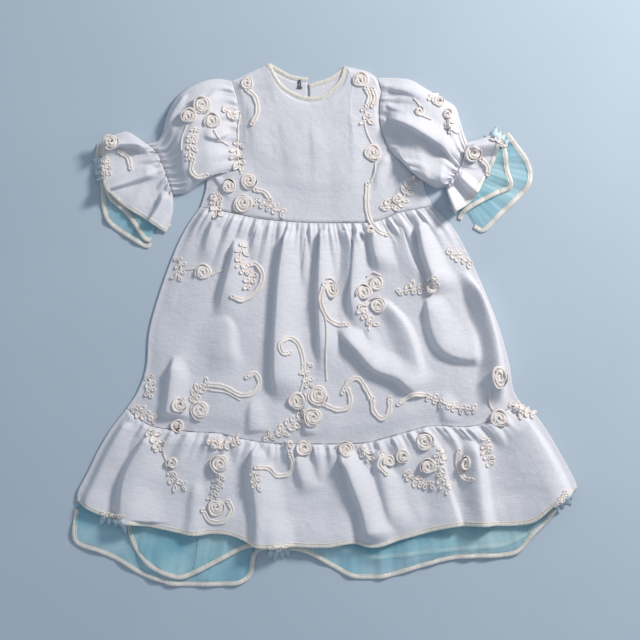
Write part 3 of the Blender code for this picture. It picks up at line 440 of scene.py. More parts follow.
class Panel:
    """A cloth panel seen from above, blended between its four edge lines."""

    def __init__(self, top: Array, bottom: Array, left: Array, right: Array) -> None:
        """Keep the edges.

        Args:
            top: The gathered edge, from left to right.
            bottom: The hem, from left to right.
            left: The left side, from the gathered edge down.
            right: The right side, from the gathered edge down.
        """
        self.top = top
        self.bottom = bottom
        self.left = np.vstack([left[:-1], bottom[:1]])
        self.right = np.vstack([right[:-1], bottom[-1:]])

    def weave(self, across: int, down: int) -> Weave:
        """The panel's points, flat on the surface.

        Args:
            across: Stretches from side to side.
            down: Stretches from the gathered edge to the hem.

        Returns:
            The points, with no height yet.
        """
        u, v = np.meshgrid(np.linspace(0, 1, across + 1), np.linspace(0, 1, down + 1))
        a, b = u[..., None], v[..., None]
        top, bottom = resample(self.top, across)[None], resample(self.bottom, across)[None]
        left, right = resample(self.left, down)[:, None], resample(self.right, down)[:, None]
        corners = (1 - b) * ((1 - a) * self.top[0] + a * self.top[-1])
        corners = corners + b * ((1 - a) * self.bottom[0] + a * self.bottom[-1])
        places = (1 - b) * top + b * bottom + (1 - a) * left + a * right - corners
        return Weave(u, v, places[..., 0], places[..., 1], np.zeros_like(u))


class Relief:
    """The height of what is laid so far, on a raster of one-millimetre cells."""

    HALF_WIDTH = 356
    HALF_LENGTH = 366

    def __init__(self, heights: Array | None = None) -> None:
        """Start with the bare surface, or with given heights."""
        shape = (2 * self.HALF_LENGTH + 1, 2 * self.HALF_WIDTH + 1)
        self.heights = np.zeros(shape) if heights is None else heights

    def lay(self, x: Array, y: Array, z: Array) -> None:
        """Raise the raster to a sheet's points, given as rows and columns.

        Args:
            x: Places across.
            y: Places along.
            z: Heights.
        """
        parts = 3
        fine = [self.finer(values, parts) for values in (x, y, z)]
        column = np.clip(np.rint(fine[0] + self.HALF_WIDTH), 0, 2 * self.HALF_WIDTH)
        row = np.clip(np.rint(fine[1] + self.HALF_LENGTH), 0, 2 * self.HALF_LENGTH)
        np.maximum.at(self.heights, (row.astype(int), column.astype(int)), fine[2])

    @staticmethod
    def finer(values: Array, parts: int) -> Array:
        """Values with each stretch cut into parts, along both axes.

        Args:
            values: Rows and columns of numbers.
            parts: Parts of each stretch.

        Returns:
            More rows and columns.
        """
        for axis in (0, 1):
            count = values.shape[axis]
            places = np.linspace(0, count - 1, (count - 1) * parts + 1)
            low = np.minimum(places.astype(int), count - 2)
            share = (places - low)[:, None] if axis == 0 else places - low
            values = (1 - share) * np.take(values, low, axis) + share * np.take(
                values, low + 1, axis)
        return values

    def smoothed(self, reach: int) -> "Relief":
        """What a cloth of some stiffness meets: the heights widened by reach and evened out.

        Args:
            reach: How far it is widened, in cells.

        Returns:
            The new heights.
        """
        heights = self.heights
        for _ in range(reach):
            for axis in (0, 1):
                before, after = np.roll(heights, 1, axis), np.roll(heights, -1, axis)
                heights = np.maximum(heights, np.maximum(before, after))
        for _ in range(reach * reach):
            for axis in (0, 1):
                before, after = np.roll(heights, 1, axis), np.roll(heights, -1, axis)
                heights = 0.5 * heights + 0.25 * (before + after)
        return Relief(heights)

    def height(self, x: Array, y: Array) -> Array:
        """Heights at places between the raster's cells.

        Args:
            x: Places across.
            y: Places along.

        Returns:
            One height for each place.
        """
        column = np.clip(x + self.HALF_WIDTH, 0, 2 * self.HALF_WIDTH - 1.001)
        row = np.clip(y + self.HALF_LENGTH, 0, 2 * self.HALF_LENGTH - 1.001)
        i, j = column.astype(int), row.astype(int)
        a, b = column - i, row - j
        low = (1 - a) * self.heights[j, i] + a * self.heights[j, i + 1]
        high = (1 - a) * self.heights[j + 1, i] + a * self.heights[j + 1, i + 1]
        return (1 - b) * low + b * high


@dataclass(frozen=True)
class Fold:
    """One long soft fold of cloth.

    Attributes:
        crest: Places along its top.
        height: Its height, or its depth where negative.
        left: Width of its side on the left.
        right: Width of its side on the right.
        head: Share of its length over which it rises.
        tail: Share of its length over which it dies away.
    """

    crest: tuple[Point, ...]
    height: float
    left: float
    right: float
    head: float = 0.15
    tail: float = 0.6

    def rise(self, x: Array, y: Array) -> Rise:
        """Heights at places, and the steps towards its steep side there.

        Args:
            x: Places across.
            y: Places along.

        Returns:
            The heights, and steps of x, y.
        """
        line = smooth_line(self.crest, 40)
        chord = line[-1] - line[0]
        side = sideways(line)
        if side[:, 0].mean() < 0:
            side = -side
        steep = -1.0 if self.left <= self.right else 1.0
        reach = 1.4 * max(self.left, self.right)
        near = (x > line[:, 0].min() - reach) & (x < line[:, 0].max() + reach)
        near &= (y > line[:, 1].min() - reach) & (y < line[:, 1].max() + reach)
        places = np.column_stack([x[near], y[near]])
        height = np.zeros_like(x)
        push = np.zeros((*x.shape, 2))
        if len(places):
            gaps = places[:, None] - line[None]
            nearest = np.argmin(np.sum(gaps**2, axis=2), axis=1)
            gap = gaps[np.arange(len(places)), nearest]
            along = np.column_stack([-side[nearest, 1], side[nearest, 0]])
            if np.dot(along.mean(axis=0), chord) < 0:
                along = -along
            length = np.sum(np.linalg.norm(np.diff(line, axis=0), axis=1))
            share = nearest / (len(line) - 1) + np.sum(gap * along, axis=1) / length
            ends = ease(-0.02, self.head, share) * (1 - ease(1 - self.tail, 1.02, share))
            offset = np.sum(gap * side[nearest], axis=1)
            spread = 0.6 + 0.4 * ease(0.0, 0.45, share) + 0.35 * ease(0.6, 1.0, share)
            height[near] = self.height * ends * bump(
                offset, self.left * spread, self.right * spread)
            push[near] = steep * side[nearest]
        return height, push


def folded(weave: Weave, folds: Sequence[Fold], lean: float) -> Rise:
    """Several folds laid into each other.

    Args:
        weave: The panel that they lie on.
        folds: The folds, and valleys where their height is negative.
        lean: How far a crest leans to its left for each unit of its height.

    Returns:
        The heights, and the sideways steps of the leaning cloth.
    """
    cubes = np.zeros_like(weave.x)
    valleys = np.zeros_like(weave.x)
    push = np.zeros((*weave.x.shape, 2))
    for fold in folds:
        height, step = fold.rise(weave.x, weave.y)
        if fold.height < 0:
            valleys = np.minimum(valleys, height)
            continue
        cubes += height**3
        push += height[..., None] ** 3 * step
    total = np.cbrt(cubes)
    push *= (lean * total / np.maximum(cubes, 1e-6))[..., None]
    return total + valleys, push


@dataclass(frozen=True)
class Gathers:
    """Uneven pleats that start at a gathering thread and die away.

    Attributes:
        count: How many there are.
        seed: Start of their random draws.
        height: Their usual height.
        reach: The share of the panel's length that they usually reach.
        pinch: Their share of that height at the thread.
    """

    count: int
    seed: int
    height: float
    reach: float
    pinch: float = 0.3

    def rise(self, u: Array, v: Array) -> Array:
        """Heights at shares of a panel's width and length.

        Args:
            u: Shares of a panel's width.
            v: Shares of its length.

        Returns:
            One height for each share.
        """
        random = np.random.default_rng(self.seed)
        drift = noise(u * 7.0, v * 3.0, self.seed + 1) * 0.12 / self.count
        half = 0.5 / self.count
        cubes = np.zeros_like(u)
        for index in range(self.count):
            middle = (index + 0.5 + random.uniform(-0.3, 0.3)) / self.count
            reach = half * random.uniform(0.75, 1.35)
            tall = self.height * random.uniform(0.65, 1.25)
            long = self.reach * random.uniform(0.6, 1.5)
            start = self.pinch + (1 - self.pinch) * ease(0.0, 0.035, v)
            fade = (1 - ease(0.0, long, v)) * start
            shape = bump(u + drift * ease(0.0, 0.2, v) - middle, reach, reach)
            cubes += (tall * fade * shape) ** 3
        return np.cbrt(cubes)


def side_fade(u: Array, width: float) -> Array:
    """Ease to nothing at both side folds."""
    return ease(0, width, u) * ease(0, width, 1 - u)


def crinkles(weave: Weave, seed: int, depth: float) -> Array:
    """The small creases of washed linen, some soft and a few sharp.

    Args:
        weave: The panel's points.
        seed: Start of the random draws.
        depth: Their usual depth.

    Returns:
        One height for each point.
    """
    x, y = weave.x, weave.y
    drift = 1.3 * noise(x / 40, y / 33, seed)
    broad = noise(x / 21 + drift, y / 15, seed + 1)
    ridge = 1 - np.abs(noise(x / 16 + 2 * drift, y / 9 + drift, seed + 3)) * 3.2
    where = ease(0.1, 0.5, noise(x / 38, y / 30, seed + 5))
    return depth * (0.6 * broad + 0.75 * np.maximum(ridge, 0.0) * where)


# Meshes


class Bundle:
    """Vertices and faces gathered into one piece."""

    def __init__(self) -> None:
        """Start with nothing."""
        self.vertices: list[Array] = []
        self.faces: Faces = []
        self.threads: list[Array] = []
        self.count = 0

    def add(self, vertices: Array, faces: Sequence[tuple[int, ...]], threads: Array) -> None:
        """Take in a closed shape.

        Args:
            vertices: Rows of x, y, z in millimetres.
            faces: Corners of each face, counted from the shape's first vertex.
            threads: Where each vertex lies on its cloth, in metres.
        """
        self.vertices.append(vertices)
        self.threads.append(threads)
        start = self.count
        self.faces += [tuple(start + corner for corner in face) for face in faces]
        self.count += len(vertices)

    def piece(self, name: str, finish: "Finish") -> Piece:
        """Make one smooth object of what was gathered.

        Args:
            name: The object's name.
            finish: Its finish.

        Returns:
            The object, named, dressed and riding on the gown's body.
        """
        mesh = bpy.data.meshes.new(name)
        places = MILLIMETRE * np.vstack(self.vertices)
        mesh.from_pydata(places.tolist(), [], self.faces)
        layer = mesh.uv_layers.new(name=THREAD_MAP)
        corners = np.zeros(len(mesh.loops), np.int32)
        mesh.loops.foreach_get("vertex_index", corners)
        threads = np.vstack(self.threads)[corners]
        layer.uv.foreach_set("vector", threads.astype(np.float32).ravel())
        mesh.materials.append(finish.material())
        mesh.shade_smooth()
        mesh.update()
        piece = bpy.data.objects.new(name, mesh)
        bpy.context.scene.collection.objects.link(piece)
        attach(piece, "root")
        log.info("%s: %d faces", name, len(mesh.polygons))
        return piece


def shell(points: Array, thickness: float) -> tuple[Array, Faces]:
    """A thin closed shell below a sheet's upper side.

    Args:
        points: Rows and columns of the upper side's x, y, z.
        thickness: Distance from the upper side to the lower.

    Returns:
        The vertices and faces of the shell.
    """
    down, across = points.shape[:2]
    normals = np.cross(np.gradient(points, axis=1), np.gradient(points, axis=0))
    normals /= np.maximum(np.linalg.norm(normals, axis=2), 1e-9)[..., None]
    if normals[..., 2].mean() < 0:
        normals = -normals
    lower = points - thickness * normals
    lower[..., 2] = np.maximum(lower[..., 2], 0.02)
    index = np.arange(down * across).reshape(down, across)
    quads = np.stack([index[:-1, :-1], index[1:, :-1], index[1:, 1:], index[:-1, 1:]], axis=-1)
    quads = quads.reshape(-1, 4)
    first, second, third = (points.reshape(-1, 3)[quads[:, corner]] for corner in (0, 1, 2))
    if np.cross(second - first, third - first)[:, 2].sum() < 0:
        quads = quads[:, ::-1]
    rim = np.concatenate([index[0, :-1], index[:-1, -1], index[-1, :0:-1], index[:0:-1, 0]])
    after = np.roll(rim, -1)
    sides = np.stack([rim, after, after + index.size, rim + index.size], axis=-1)
    used = {(int(a), int(b)) for face in quads for a, b in zip(face, np.roll(face, -1))
            if a in (rim[0], rim[1]) and b in (rim[0], rim[1])}
    if (int(rim[0]), int(rim[1])) in used:
        sides = sides[:, ::-1]
    faces = [tuple(face) for face in quads.tolist()]
    faces += [tuple(face) for face in (quads[:, ::-1] + index.size).tolist()]
    faces += [tuple(face) for face in sides.tolist()]
    return np.vstack([points.reshape(-1, 3), lower.reshape(-1, 3)]), faces


# Sections across a ribbon or a binding: shares of its half width and of its height
CORD_SECTION: tuple[Point, ...] = (
    (-1.0, 0.0), (-0.92, 0.62), (-0.55, 1.0), (-0.18, 0.72), (0.0, 0.42), (0.18, 0.72),
    (0.55, 1.0), (0.92, 0.62), (1.0, 0.0), (0.5, -0.3), (-0.5, -0.3))
STEM_SECTION: tuple[Point, ...] = (
    (-1.0, 0.0), (-0.72, 0.74), (0.0, 1.0), (0.72, 0.74), (1.0, 0.0), (0.0, -0.3))
BINDING_SECTION: tuple[Point, ...] = (
    (-1.0, 0.0), (-0.96, 0.7), (-0.8, 0.95), (-0.66, 0.85), (-0.56, 0.35), (-0.46, 0.85),
    (-0.1, 1.05), (0.45, 1.0), (0.85, 0.7), (1.0, 0.0), (0.85, -0.7), (0.0, -0.9),
    (-0.85, -0.7))


def swept(line: Array, half_widths: Array, section: Sequence[Point],
          heights: Array, ground: Relief | None) -> tuple[Array, Faces, Array]:
    """A closed strip with a section that follows a line.

    Args:
        line: Rows of x, y or of x, y, z.
        half_widths: Half of the strip's width at each row.
        section: The section's corners, as shares of the half width and the height.
        heights: The section's height at each row.
        ground: What each corner lies on, or None where the line has its own z.

    Returns:
        The vertices, the faces, and each vertex's place along and across, in metres.
    """
    corners = np.array(section)
    side = sideways(line)
    spread = corners[:, 0][None, :] * half_widths[:, None]
    x = line[:, 0][:, None] + side[:, 0][:, None] * spread
    y = line[:, 1][:, None] + side[:, 1][:, None] * spread
    base = ground.height(x, y) if ground else line[:, 2][:, None]
    z = base + corners[:, 1][None, :] * heights[:, None]
    rows, columns = x.shape
    index = np.arange(rows * columns).reshape(rows, columns)
    following = np.roll(index, -1, axis=1)
    quads = np.stack([index[:-1], index[1:], following[1:], following[:-1]], axis=-1)
    faces = [tuple(face) for face in quads.reshape(-1, 4).tolist()]
    faces.append(tuple(index[0].tolist()))
    faces.append(tuple(index[-1, ::-1].tolist()))
    lengths = np.concatenate([[0.0], np.cumsum(np.linalg.norm(np.diff(line, axis=0), axis=1))])
    threads = MILLIMETRE * np.stack(
        [np.broadcast_to(lengths[:, None], x.shape), spread], axis=-1)
    return np.stack([x, y, z], axis=-1).reshape(-1, 3), faces, threads.reshape(-1, 2)


# Finishes


class Dresser:
    """Writes one material's nodes."""

    def __init__(self, name: str) -> None:
        """Make the material with an empty Principled shader.

        Args:
            name: The material's name.
        """
        self.item = bpy.data.materials.new(name)
        self.item.use_nodes = True
        self.tree = self.item.node_tree
        self.shader = self.tree.nodes["Principled BSDF"]

    def node(self, kind: str, **settings: object) -> bpy.types.Node:
        """Add a node, with its properties and the values of its inputs.

        Args:
            kind: Type of the node.
            settings: Properties and inputs by their names.

        Returns:
            The new node.
        """
        made = self.tree.nodes.new(kind)
        for key, value in settings.items():
            if key in made.inputs:
                made.inputs[key].default_value = value
            else:
                setattr(made, key.lower(), value)
        return made

    def link(self, source: Socket, target: Socket) -> None:
        """Join two sockets."""
        self.tree.links.new(source, target)

    def threads(self, scale: Triple) -> Socket:
        """Places on the cloth's own threads, in metres times a scale."""
        source = self.node("ShaderNodeUVMap", uv_map=THREAD_MAP)
        return self.scaled(source.outputs["UV"], scale)

    def places(self, scale: Triple) -> Socket:
        """Places in the gown's frame, in metres times a scale."""
        source = self.node("ShaderNodeTexCoord")
        return self.scaled(source.outputs["Object"], scale)

    def scaled(self, source: Socket,
               scale: Triple) -> Socket:
        """A vector times a scale.

        Args:
            source: Socket of the vector.
            scale: What each axis is multiplied by.

        Returns:
            Socket of the scaled vector.
        """
        mapping = self.node("ShaderNodeMapping")
        mapping.inputs["Scale"].default_value = scale
        self.link(source, mapping.inputs["Vector"])
        return mapping.outputs["Vector"]

    def noise(self, vector: Socket, detail: float = 3.0) -> Socket:
        """Noise of one wave a unit.

        Args:
            vector: Socket of the places.
            detail: Octaves of the noise.

        Returns:
            Socket of the noise.
        """
        made = self.node("ShaderNodeTexNoise", Scale=1.0, Detail=detail)
        self.link(vector, made.inputs["Vector"])
        return made.outputs["Fac"]

    def set(self, name: str, value: float) -> None:
        """Set one of the shader's own sockets."""
        self.shader.inputs[name].default_value = value

    def colour(self, share: Socket, low: Sequence[float],
               high: Sequence[float], start: float, end: float) -> None:
        """Set a colour that goes from low to high as the share goes from start to end.

        Args:
            share: Socket of the share.
            low: Colour at the start.
            high: Colour at the end.
            start: Share where the colours begin to mix.
            end: Share where the mixing ends.
        """
        ramp = self.node("ShaderNodeValToRGB")
        ramp.color_ramp.elements[0].position = start
        ramp.color_ramp.elements[0].color = (*low, 1.0)
        ramp.color_ramp.elements[1].position = end
        ramp.color_ramp.elements[1].color = (*high, 1.0)
        self.link(share, ramp.inputs["Fac"])
        self.link(ramp.outputs["Color"], self.shader.inputs["Base Color"])

    def bumps(self, layers: Sequence[tuple[Socket, float]]) -> None:
        """Set the shader's normal from layers of heights, each with its depth in metres.

        Args:
            layers: Sockets of the heights, with their depths.
        """
        normal = None
        for height, depth in layers:
            made = self.node("ShaderNodeBump", Strength=1.0, Distance=depth)
            self.link(height, made.inputs["Height"])
            if normal:
                self.link(normal, made.inputs["Normal"])
            normal = made.outputs["Normal"]
        self.link(normal, self.shader.inputs["Normal"])


@dataclass(frozen=True)
class Finish:
    """A finish of the gown.

    Attributes:
        slot: First part of its material's name.
        light: Its colour where it is lightest.
        dark: Its colour where it is darkest.
        roughness: Roughness of its surface.
    """

    slot: str
    light: Triple
    dark: Triple
    roughness: float

    def material(self) -> bpy.types.Material:
        """The finish as a material, made once.

        Returns:
            The material.
        """
        name = f"{self.slot}_{type(self).__name__.lower()}"
        known = bpy.data.materials.get(name)
        if known:
            return known
        dresser = Dresser(name)
        dresser.set("Roughness", self.roughness)
        self.dress(dresser)
        return dresser.item

    def dress(self, dresser: Dresser) -> None:
        """Write the finish's own nodes."""
        raise NotImplementedError


@dataclass(frozen=True)
class Linen(Finish):
    """Matte white linen with slubs along both threads and a washed crinkle.

    Attributes:
        weft_slub: Slubs for each metre along and across the weft.
        warp_slub: The same for the warp.
        crinkle: Crinkles for each metre.
        weave: Threads for each metre.
        crinkle_depth: Depth of the crinkles in metres.
        weft_depth: Depth of the slubs of the weft.
        warp_depth: Depth of the slubs of the warp.
        weave_depth: Depth of the threads.
    """

    weft_slub: Triple = (38.0, 760.0, 1.0)
    warp_slub: Triple = (820.0, 46.0, 1.0)
    crinkle: float = 150.0
    weave: float = 1900.0
    crinkle_depth: float = 0.0006
    weft_depth: float = 0.00032
    warp_depth: float = 0.00014
    weave_depth: float = 0.00008

    def dress(self, dresser: Dresser) -> None:
        """Colour, slubs, crinkle and weave.

        Args:
            dresser: Writer of the nodes.
        """
        weft = dresser.noise(dresser.threads(self.weft_slub), 2.0)
        warp = dresser.noise(dresser.threads(self.warp_slub), 2.0)
        crinkle = dresser.noise(dresser.places((self.crinkle,) * 3), 4.0)
        weave = dresser.node("ShaderNodeTexVoronoi", feature="F1", Scale=self.weave)
        dresser.link(dresser.places((1.0, 1.0, 1.0)), weave.inputs["Vector"])
        dresser.colour(weft, self.dark, self.light, 0.28, 0.55)
        dresser.set("Sheen Weight", 0.12)
        dresser.set("Sheen Roughness", 0.6)
        dresser.set("Specular IOR Level", 0.2)
        dresser.bumps([(crinkle, self.crinkle_depth), (weft, self.weft_depth),
                       (warp, self.warp_depth), (weave.outputs["Distance"], self.weave_depth)])


@dataclass(frozen=True)
class Satin(Finish):
    """Cream satin folded to a binding, with a soft shine along it, and lighter and darker colour
    streaks that are painted sheen.

    Attributes:
        rib: Ribs, and the painted sheen streaks, for each metre along and across the binding.
        rib_depth: Depth of the ribs in metres.
    """

    rib: Triple = (320.0, 60.0, 1.0)
    rib_depth: float = 0.0005

    def dress(self, dresser: Dresser) -> None:
        """Colour with painted sheen streaks, shine and the fine ribs across the binding.

        Args:
            dresser: Writer of the nodes.
        """
        ribs_and_painted_sheen = dresser.noise(dresser.threads(self.rib), 2.0)
        # The colour follows the rib noise: its light and dark streaks are painted sheen.
        dresser.colour(ribs_and_painted_sheen, self.dark, self.light, 0.3, 0.62)
        dresser.set("Specular IOR Level", 0.6)
        dresser.set("Sheen Weight", 0.2)
        dresser.bumps([(ribs_and_painted_sheen, self.rib_depth)])


@dataclass(frozen=True)
class Ribbon(Finish):
    """Soft cream ribbon with a pink tint in places.

    Attributes:
        rib: Ribs for each metre along and across the ribbon.
        rib_depth: Depth of the ribs in metres.
    """

    rib: Triple = (1500.0, 300.0, 1.0)
    rib_depth: float = 0.0003

    def dress(self, dresser: Dresser) -> None:
        """Colour with pinker stretches, and fine ribs across the ribbon.

        Args:
            dresser: Writer of the nodes.
        """
        tint = dresser.noise(dresser.places((42.0, 42.0, 42.0)), 1.0)
        dresser.colour(tint, self.light, self.dark, 0.38, 0.68)
        ribs = dresser.noise(dresser.threads(self.rib), 1.0)
        dresser.set("Specular IOR Level", 0.35)
        dresser.set("Sheen Weight", 0.15)
        dresser.bumps([(ribs, self.rib_depth)])


@dataclass(frozen=True)
class Sheer(Finish):
    """Sheer aqua organza that shows the layers below it.

    Attributes:
        cover: Share of its face that its threads cover.
        thread: Threads for each metre along and across.
        thread_depth: Depth of the threads in metres.
    """

    cover: float = 0.34
    thread: Triple = (1400.0, 1400.0, 1.0)
    thread_depth: float = 0.0002

    def dress(self, dresser: Dresser) -> None:
        """Tint in soft veils, open between the threads.

        Args:
            dresser: Writer of the nodes.
        """
        veil = dresser.noise(dresser.places((14.0, 22.0, 14.0)), 3.0)
        dresser.colour(veil, self.dark, self.light, 0.35, 0.7)
        dresser.set("Alpha", self.cover)
        dresser.set("Specular IOR Level", 0.5)
        weave = dresser.noise(dresser.threads(self.thread), 1.0)
        dresser.bumps([(weave, self.thread_depth)])


@dataclass(frozen=True)
class Veil(Sheer):
    """White organza of the tufts' points."""


@dataclass(frozen=True)
class Seam(Sheer):
    """Organza turned in twice along a seam."""


@dataclass(frozen=True)
class Steel(Finish):
    """Dark enamelled wire."""

    def dress(self, dresser: Dresser) -> None:
        """Colour with small worn spots.

        Args:
            dresser: Writer of the nodes.
        """
        wear = dresser.noise(dresser.places((900.0, 900.0, 900.0)), 2.0)
        dresser.colour(wear, self.dark, self.light, 0.4, 0.75)
        dresser.set("Metallic", 0.8)


@dataclass(frozen=True)
class Board(Finish):
    """The pale surface that the gown lies on."""

    def dress(self, dresser: Dresser) -> None:
        """An even pale colour with a faint mottle."""
        mottle = dresser.noise(dresser.places((6.0, 6.0, 6.0)), 3.0)
        dresser.colour(mottle, self.dark, self.light, 0.3, 0.7)


LINEN_FINISH = Linen("linen", (0.78, 0.76, 0.795), (0.715, 0.70, 0.75), 0.85)
# The satin's light and dark colours make painted sheen streaks over its cream.
SATIN_FINISH = Satin("satin", (0.86, 0.81, 0.74), (0.74, 0.67, 0.58), 0.36)
RIBBON_FINISH = Ribbon("ribbon", (0.91, 0.835, 0.78), (0.91, 0.80, 0.75), 0.6)
VEIL_FINISH = Veil("organza", (0.84, 0.94, 0.98), (0.72, 0.88, 0.95), 0.5, 0.68)
SHEER_FINISH = Sheer("organza", (0.68, 0.94, 0.99), (0.34, 0.72, 0.84), 0.45)
SEAM_FINISH = Seam("organza", (0.36, 0.56, 0.66), (0.28, 0.48, 0.60), 0.5, 0.7)
BOARD_FINISH = Board("board", (0.52, 0.60, 0.68), (0.50, 0.58, 0.66), 0.9)
STEEL_FINISH = Steel("steel", (0.16, 0.16, 0.18), (0.07, 0.07, 0.08), 0.4)


# Panels and bindings


def no_rise(weave: Weave) -> Rise:
    """A sheet that lies flat on what is below it."""
    return np.zeros_like(weave.x), np.zeros((*weave.x.shape, 2))


@dataclass
class Cloth:
    """One panel of cloth, laid as a thin closed shell.

    Attributes:
        name: Name of its piece.
        node: The solid that it stands for.
        panel: Its edges seen from above.
        across: Stretches from side to side.
        down: Stretches from the gathered edge to the hem.
        held: How the sheet is held; not used.
        rests_on: Names of the nodes below it; not used.
        rise: Its heights above what it lies on, and its sideways steps.
        finish: Its finish.
        thickness: Distance between its two sides.
        companions: The pieces that are sewn on it.
        piece: Its own piece, once it is laid.
    """

    name: str
    node: str
    panel: Panel
    across: int
    down: int
    held: str = "laid"
    rests_on: tuple[str, ...] = ()
    rise: Callable[[Weave], Rise] = no_rise
    finish: Finish = LINEN_FINISH
    thickness: float = LINEN
    companions: list[Piece] = field(default_factory=list)
    piece: Piece | None = field(default=None, init=False)

    def lay(self, relief: Relief, ground: Relief) -> Weave:
        """Lay the sheet on the ground, raise the relief to it, and keep its piece.

        Args:
            relief: Heights laid so far.
            ground: What it lies on.

        Returns:
            The sheet's points as laid.
        """
        weave = self.panel.weave(self.across, self.down)
        rise, push = self.rise(weave)
        weave.x = weave.x + push[..., 0]
        weave.y = weave.y + push[..., 1]
        base = ground.height(weave.x, weave.y) + CLEARANCE + self.thickness
        weave.z = base + np.maximum(rise, 0.0)
        relief.lay(weave.x, weave.y, weave.z)
        vertices, faces = shell(weave.points, self.thickness)
        width, length, _ = CUTS[self.node]
        threads = np.stack([weave.u * width, weave.v * length], axis=-1)
        bundle = Bundle()
        bundle.add(vertices, faces, np.tile(threads.reshape(-1, 2), (2, 1)))
        self.piece = bundle.piece(self.name, self.finish)
        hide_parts(self.node)
        return weave

    def declare(self) -> None:
        """Do nothing: the sheet's cut and what is sewn on it are not stated here."""


@dataclass
class Binding:
    """A satin binding folded over a cloth's edge.

    Attributes:
        node: The solid that it stands for.
        outward: 1 where the open side is left of the edge's direction, else -1.
        width: Width of the binding.
        overlap: How far it reaches over the cloth.
    """

    node: str
    outward: int
    width: float = BINDING_WIDTH
    overlap: float = 1.3

    def sew(self, rim: Array, relief: Relief, ground: Relief) -> Piece:
        """Sew the binding on a rim of cloth.

        Args:
            rim: Rows of x, y, z along the cloth's upper edge.
            relief: The heights to raise to the binding.
            ground: What the binding lies on.

        Returns:
            The binding's piece.
        """
        line = resample(rim, 2 * (len(rim) - 1))
        middle = 0.5 * (self.width - self.overlap)
        places = line[:, :2] + self.outward * middle * sideways(line)
        half = 0.5 * (self.width + self.overlap)
        height = np.full(len(line), BINDING_HEIGHT)
        evened = line[:, 2].copy()
        for _ in range(3):
            evened[1:-1] = 0.5 * evened[1:-1] + 0.25 * (evened[:-2] + evened[2:])
        level = np.maximum(evened - 0.5 * LINEN,
                           ground.height(*places.T) + CLEARANCE + 0.9 * height)
        path = np.column_stack([places, level])
        section = [(self.outward * a, b) for a, b in BINDING_SECTION]
        if self.outward < 0:
            section.reverse()
        vertices, faces, threads = swept(path, np.full(len(line), half), section, height, None)
        bundle = Bundle()
        bundle.add(vertices, faces, threads)
        grid = vertices.reshape(len(line), -1, 3)
        relief.lay(grid[..., 0], grid[..., 1], grid[..., 2])
        piece = bundle.piece(f"{self.node}_satin", SATIN_FINISH)
        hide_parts(self.node)
        return piece


# Where the gown's folds lie

SKIRT_FOLDS = (
    Fold(((-118, 117), (-119, 94), (-127, 60), (-136, 29), (-144, -6)), 12, 15, 30, 0.12, 0.5),
    Fold(((-48, 130), (-56, 78), (-60, 25), (-63, -33), (-61, -104)), 13, 12, 36, 0.08, 0.15),
    Fold(((-2, 136), (-4, 84), (-5, 30), (-3, -20), (-4, -72)), 11, 9, 24, 0.08, 0.3),
    Fold(((22, 134), (32, 104), (30, 66), (25, 36)), 8, 14, 8, 0.12, 0.4),
    Fold(((44, 130), (41, 80), (39, 32), (46, -8)), 11, 11, 22, 0.12, 0.35),
    Fold(((64, 134), (70, 104), (78, 66)), 11, 13, 26, 0.12, 0.45),
    Fold(((100, 140), (108, 104), (122, 72), (140, 44)), 5, 24, 8, 0.15, 0.4),
    Fold(((130, 140), (137, 106), (146, 78), (162, 40)), 16, 17, 22, 0.1, 0.3),
    Fold(((186, 72), (208, 30), (222, -16), (228, -60), (230, -106)), 18, 22, 13, 0.2, 0.15),
    Fold(((74, 34), (92, 14), (106, -8), (116, -36), (127, -90)), 9, 26, 16, 0.2, 0.3),
    Fold(((139, 40), (147, -2), (160, -28), (182, -38), (212, -38)), 10, 16, 40, 0.15, 0.1),
    Fold(((16, -2), (43, -26), (60, -45), (73, -56), (103, -68), (134, -96)), 14, 15, 28, 0.2, 0.2),
    Fold(((54, 0), (66, -30), (78, -48)), 4, 10, 16, 0.3, 0.5),
    Fold(((-201, -40), (-204, -78), (-209, -126)), 11, 12, 26, 0.25, 0.1),
    Fold(((-136, 24), (-132, -20), (-130, -66)), 6, 44, 20, 0.3, 0.4),
    Fold(((-148, 144), (-155, 112), (-167, 82)), 6, 13, 20, 0.1, 0.5),
    Fold(((-88, 136), (-94, 108), (-104, 84)), 5, 10, 16, 0.1, 0.5),
    Fold(((-25, 124), (-27, 84), (-32, 40)), 4, 7, 12, 0.1, 0.6),
    Fold(((-24, -70), (-26, -110), (-24, -150)), 4, 7, 16, 0.4, 0.1),
    Fold(((-94, -96), (-98, -120), (-96, -146)), 4, 12, 22, 0.4, 0.1),
    Fold(((160, -84), (162, -110), (166, -136)), 4, 12, 18, 0.5, 0.1),
)
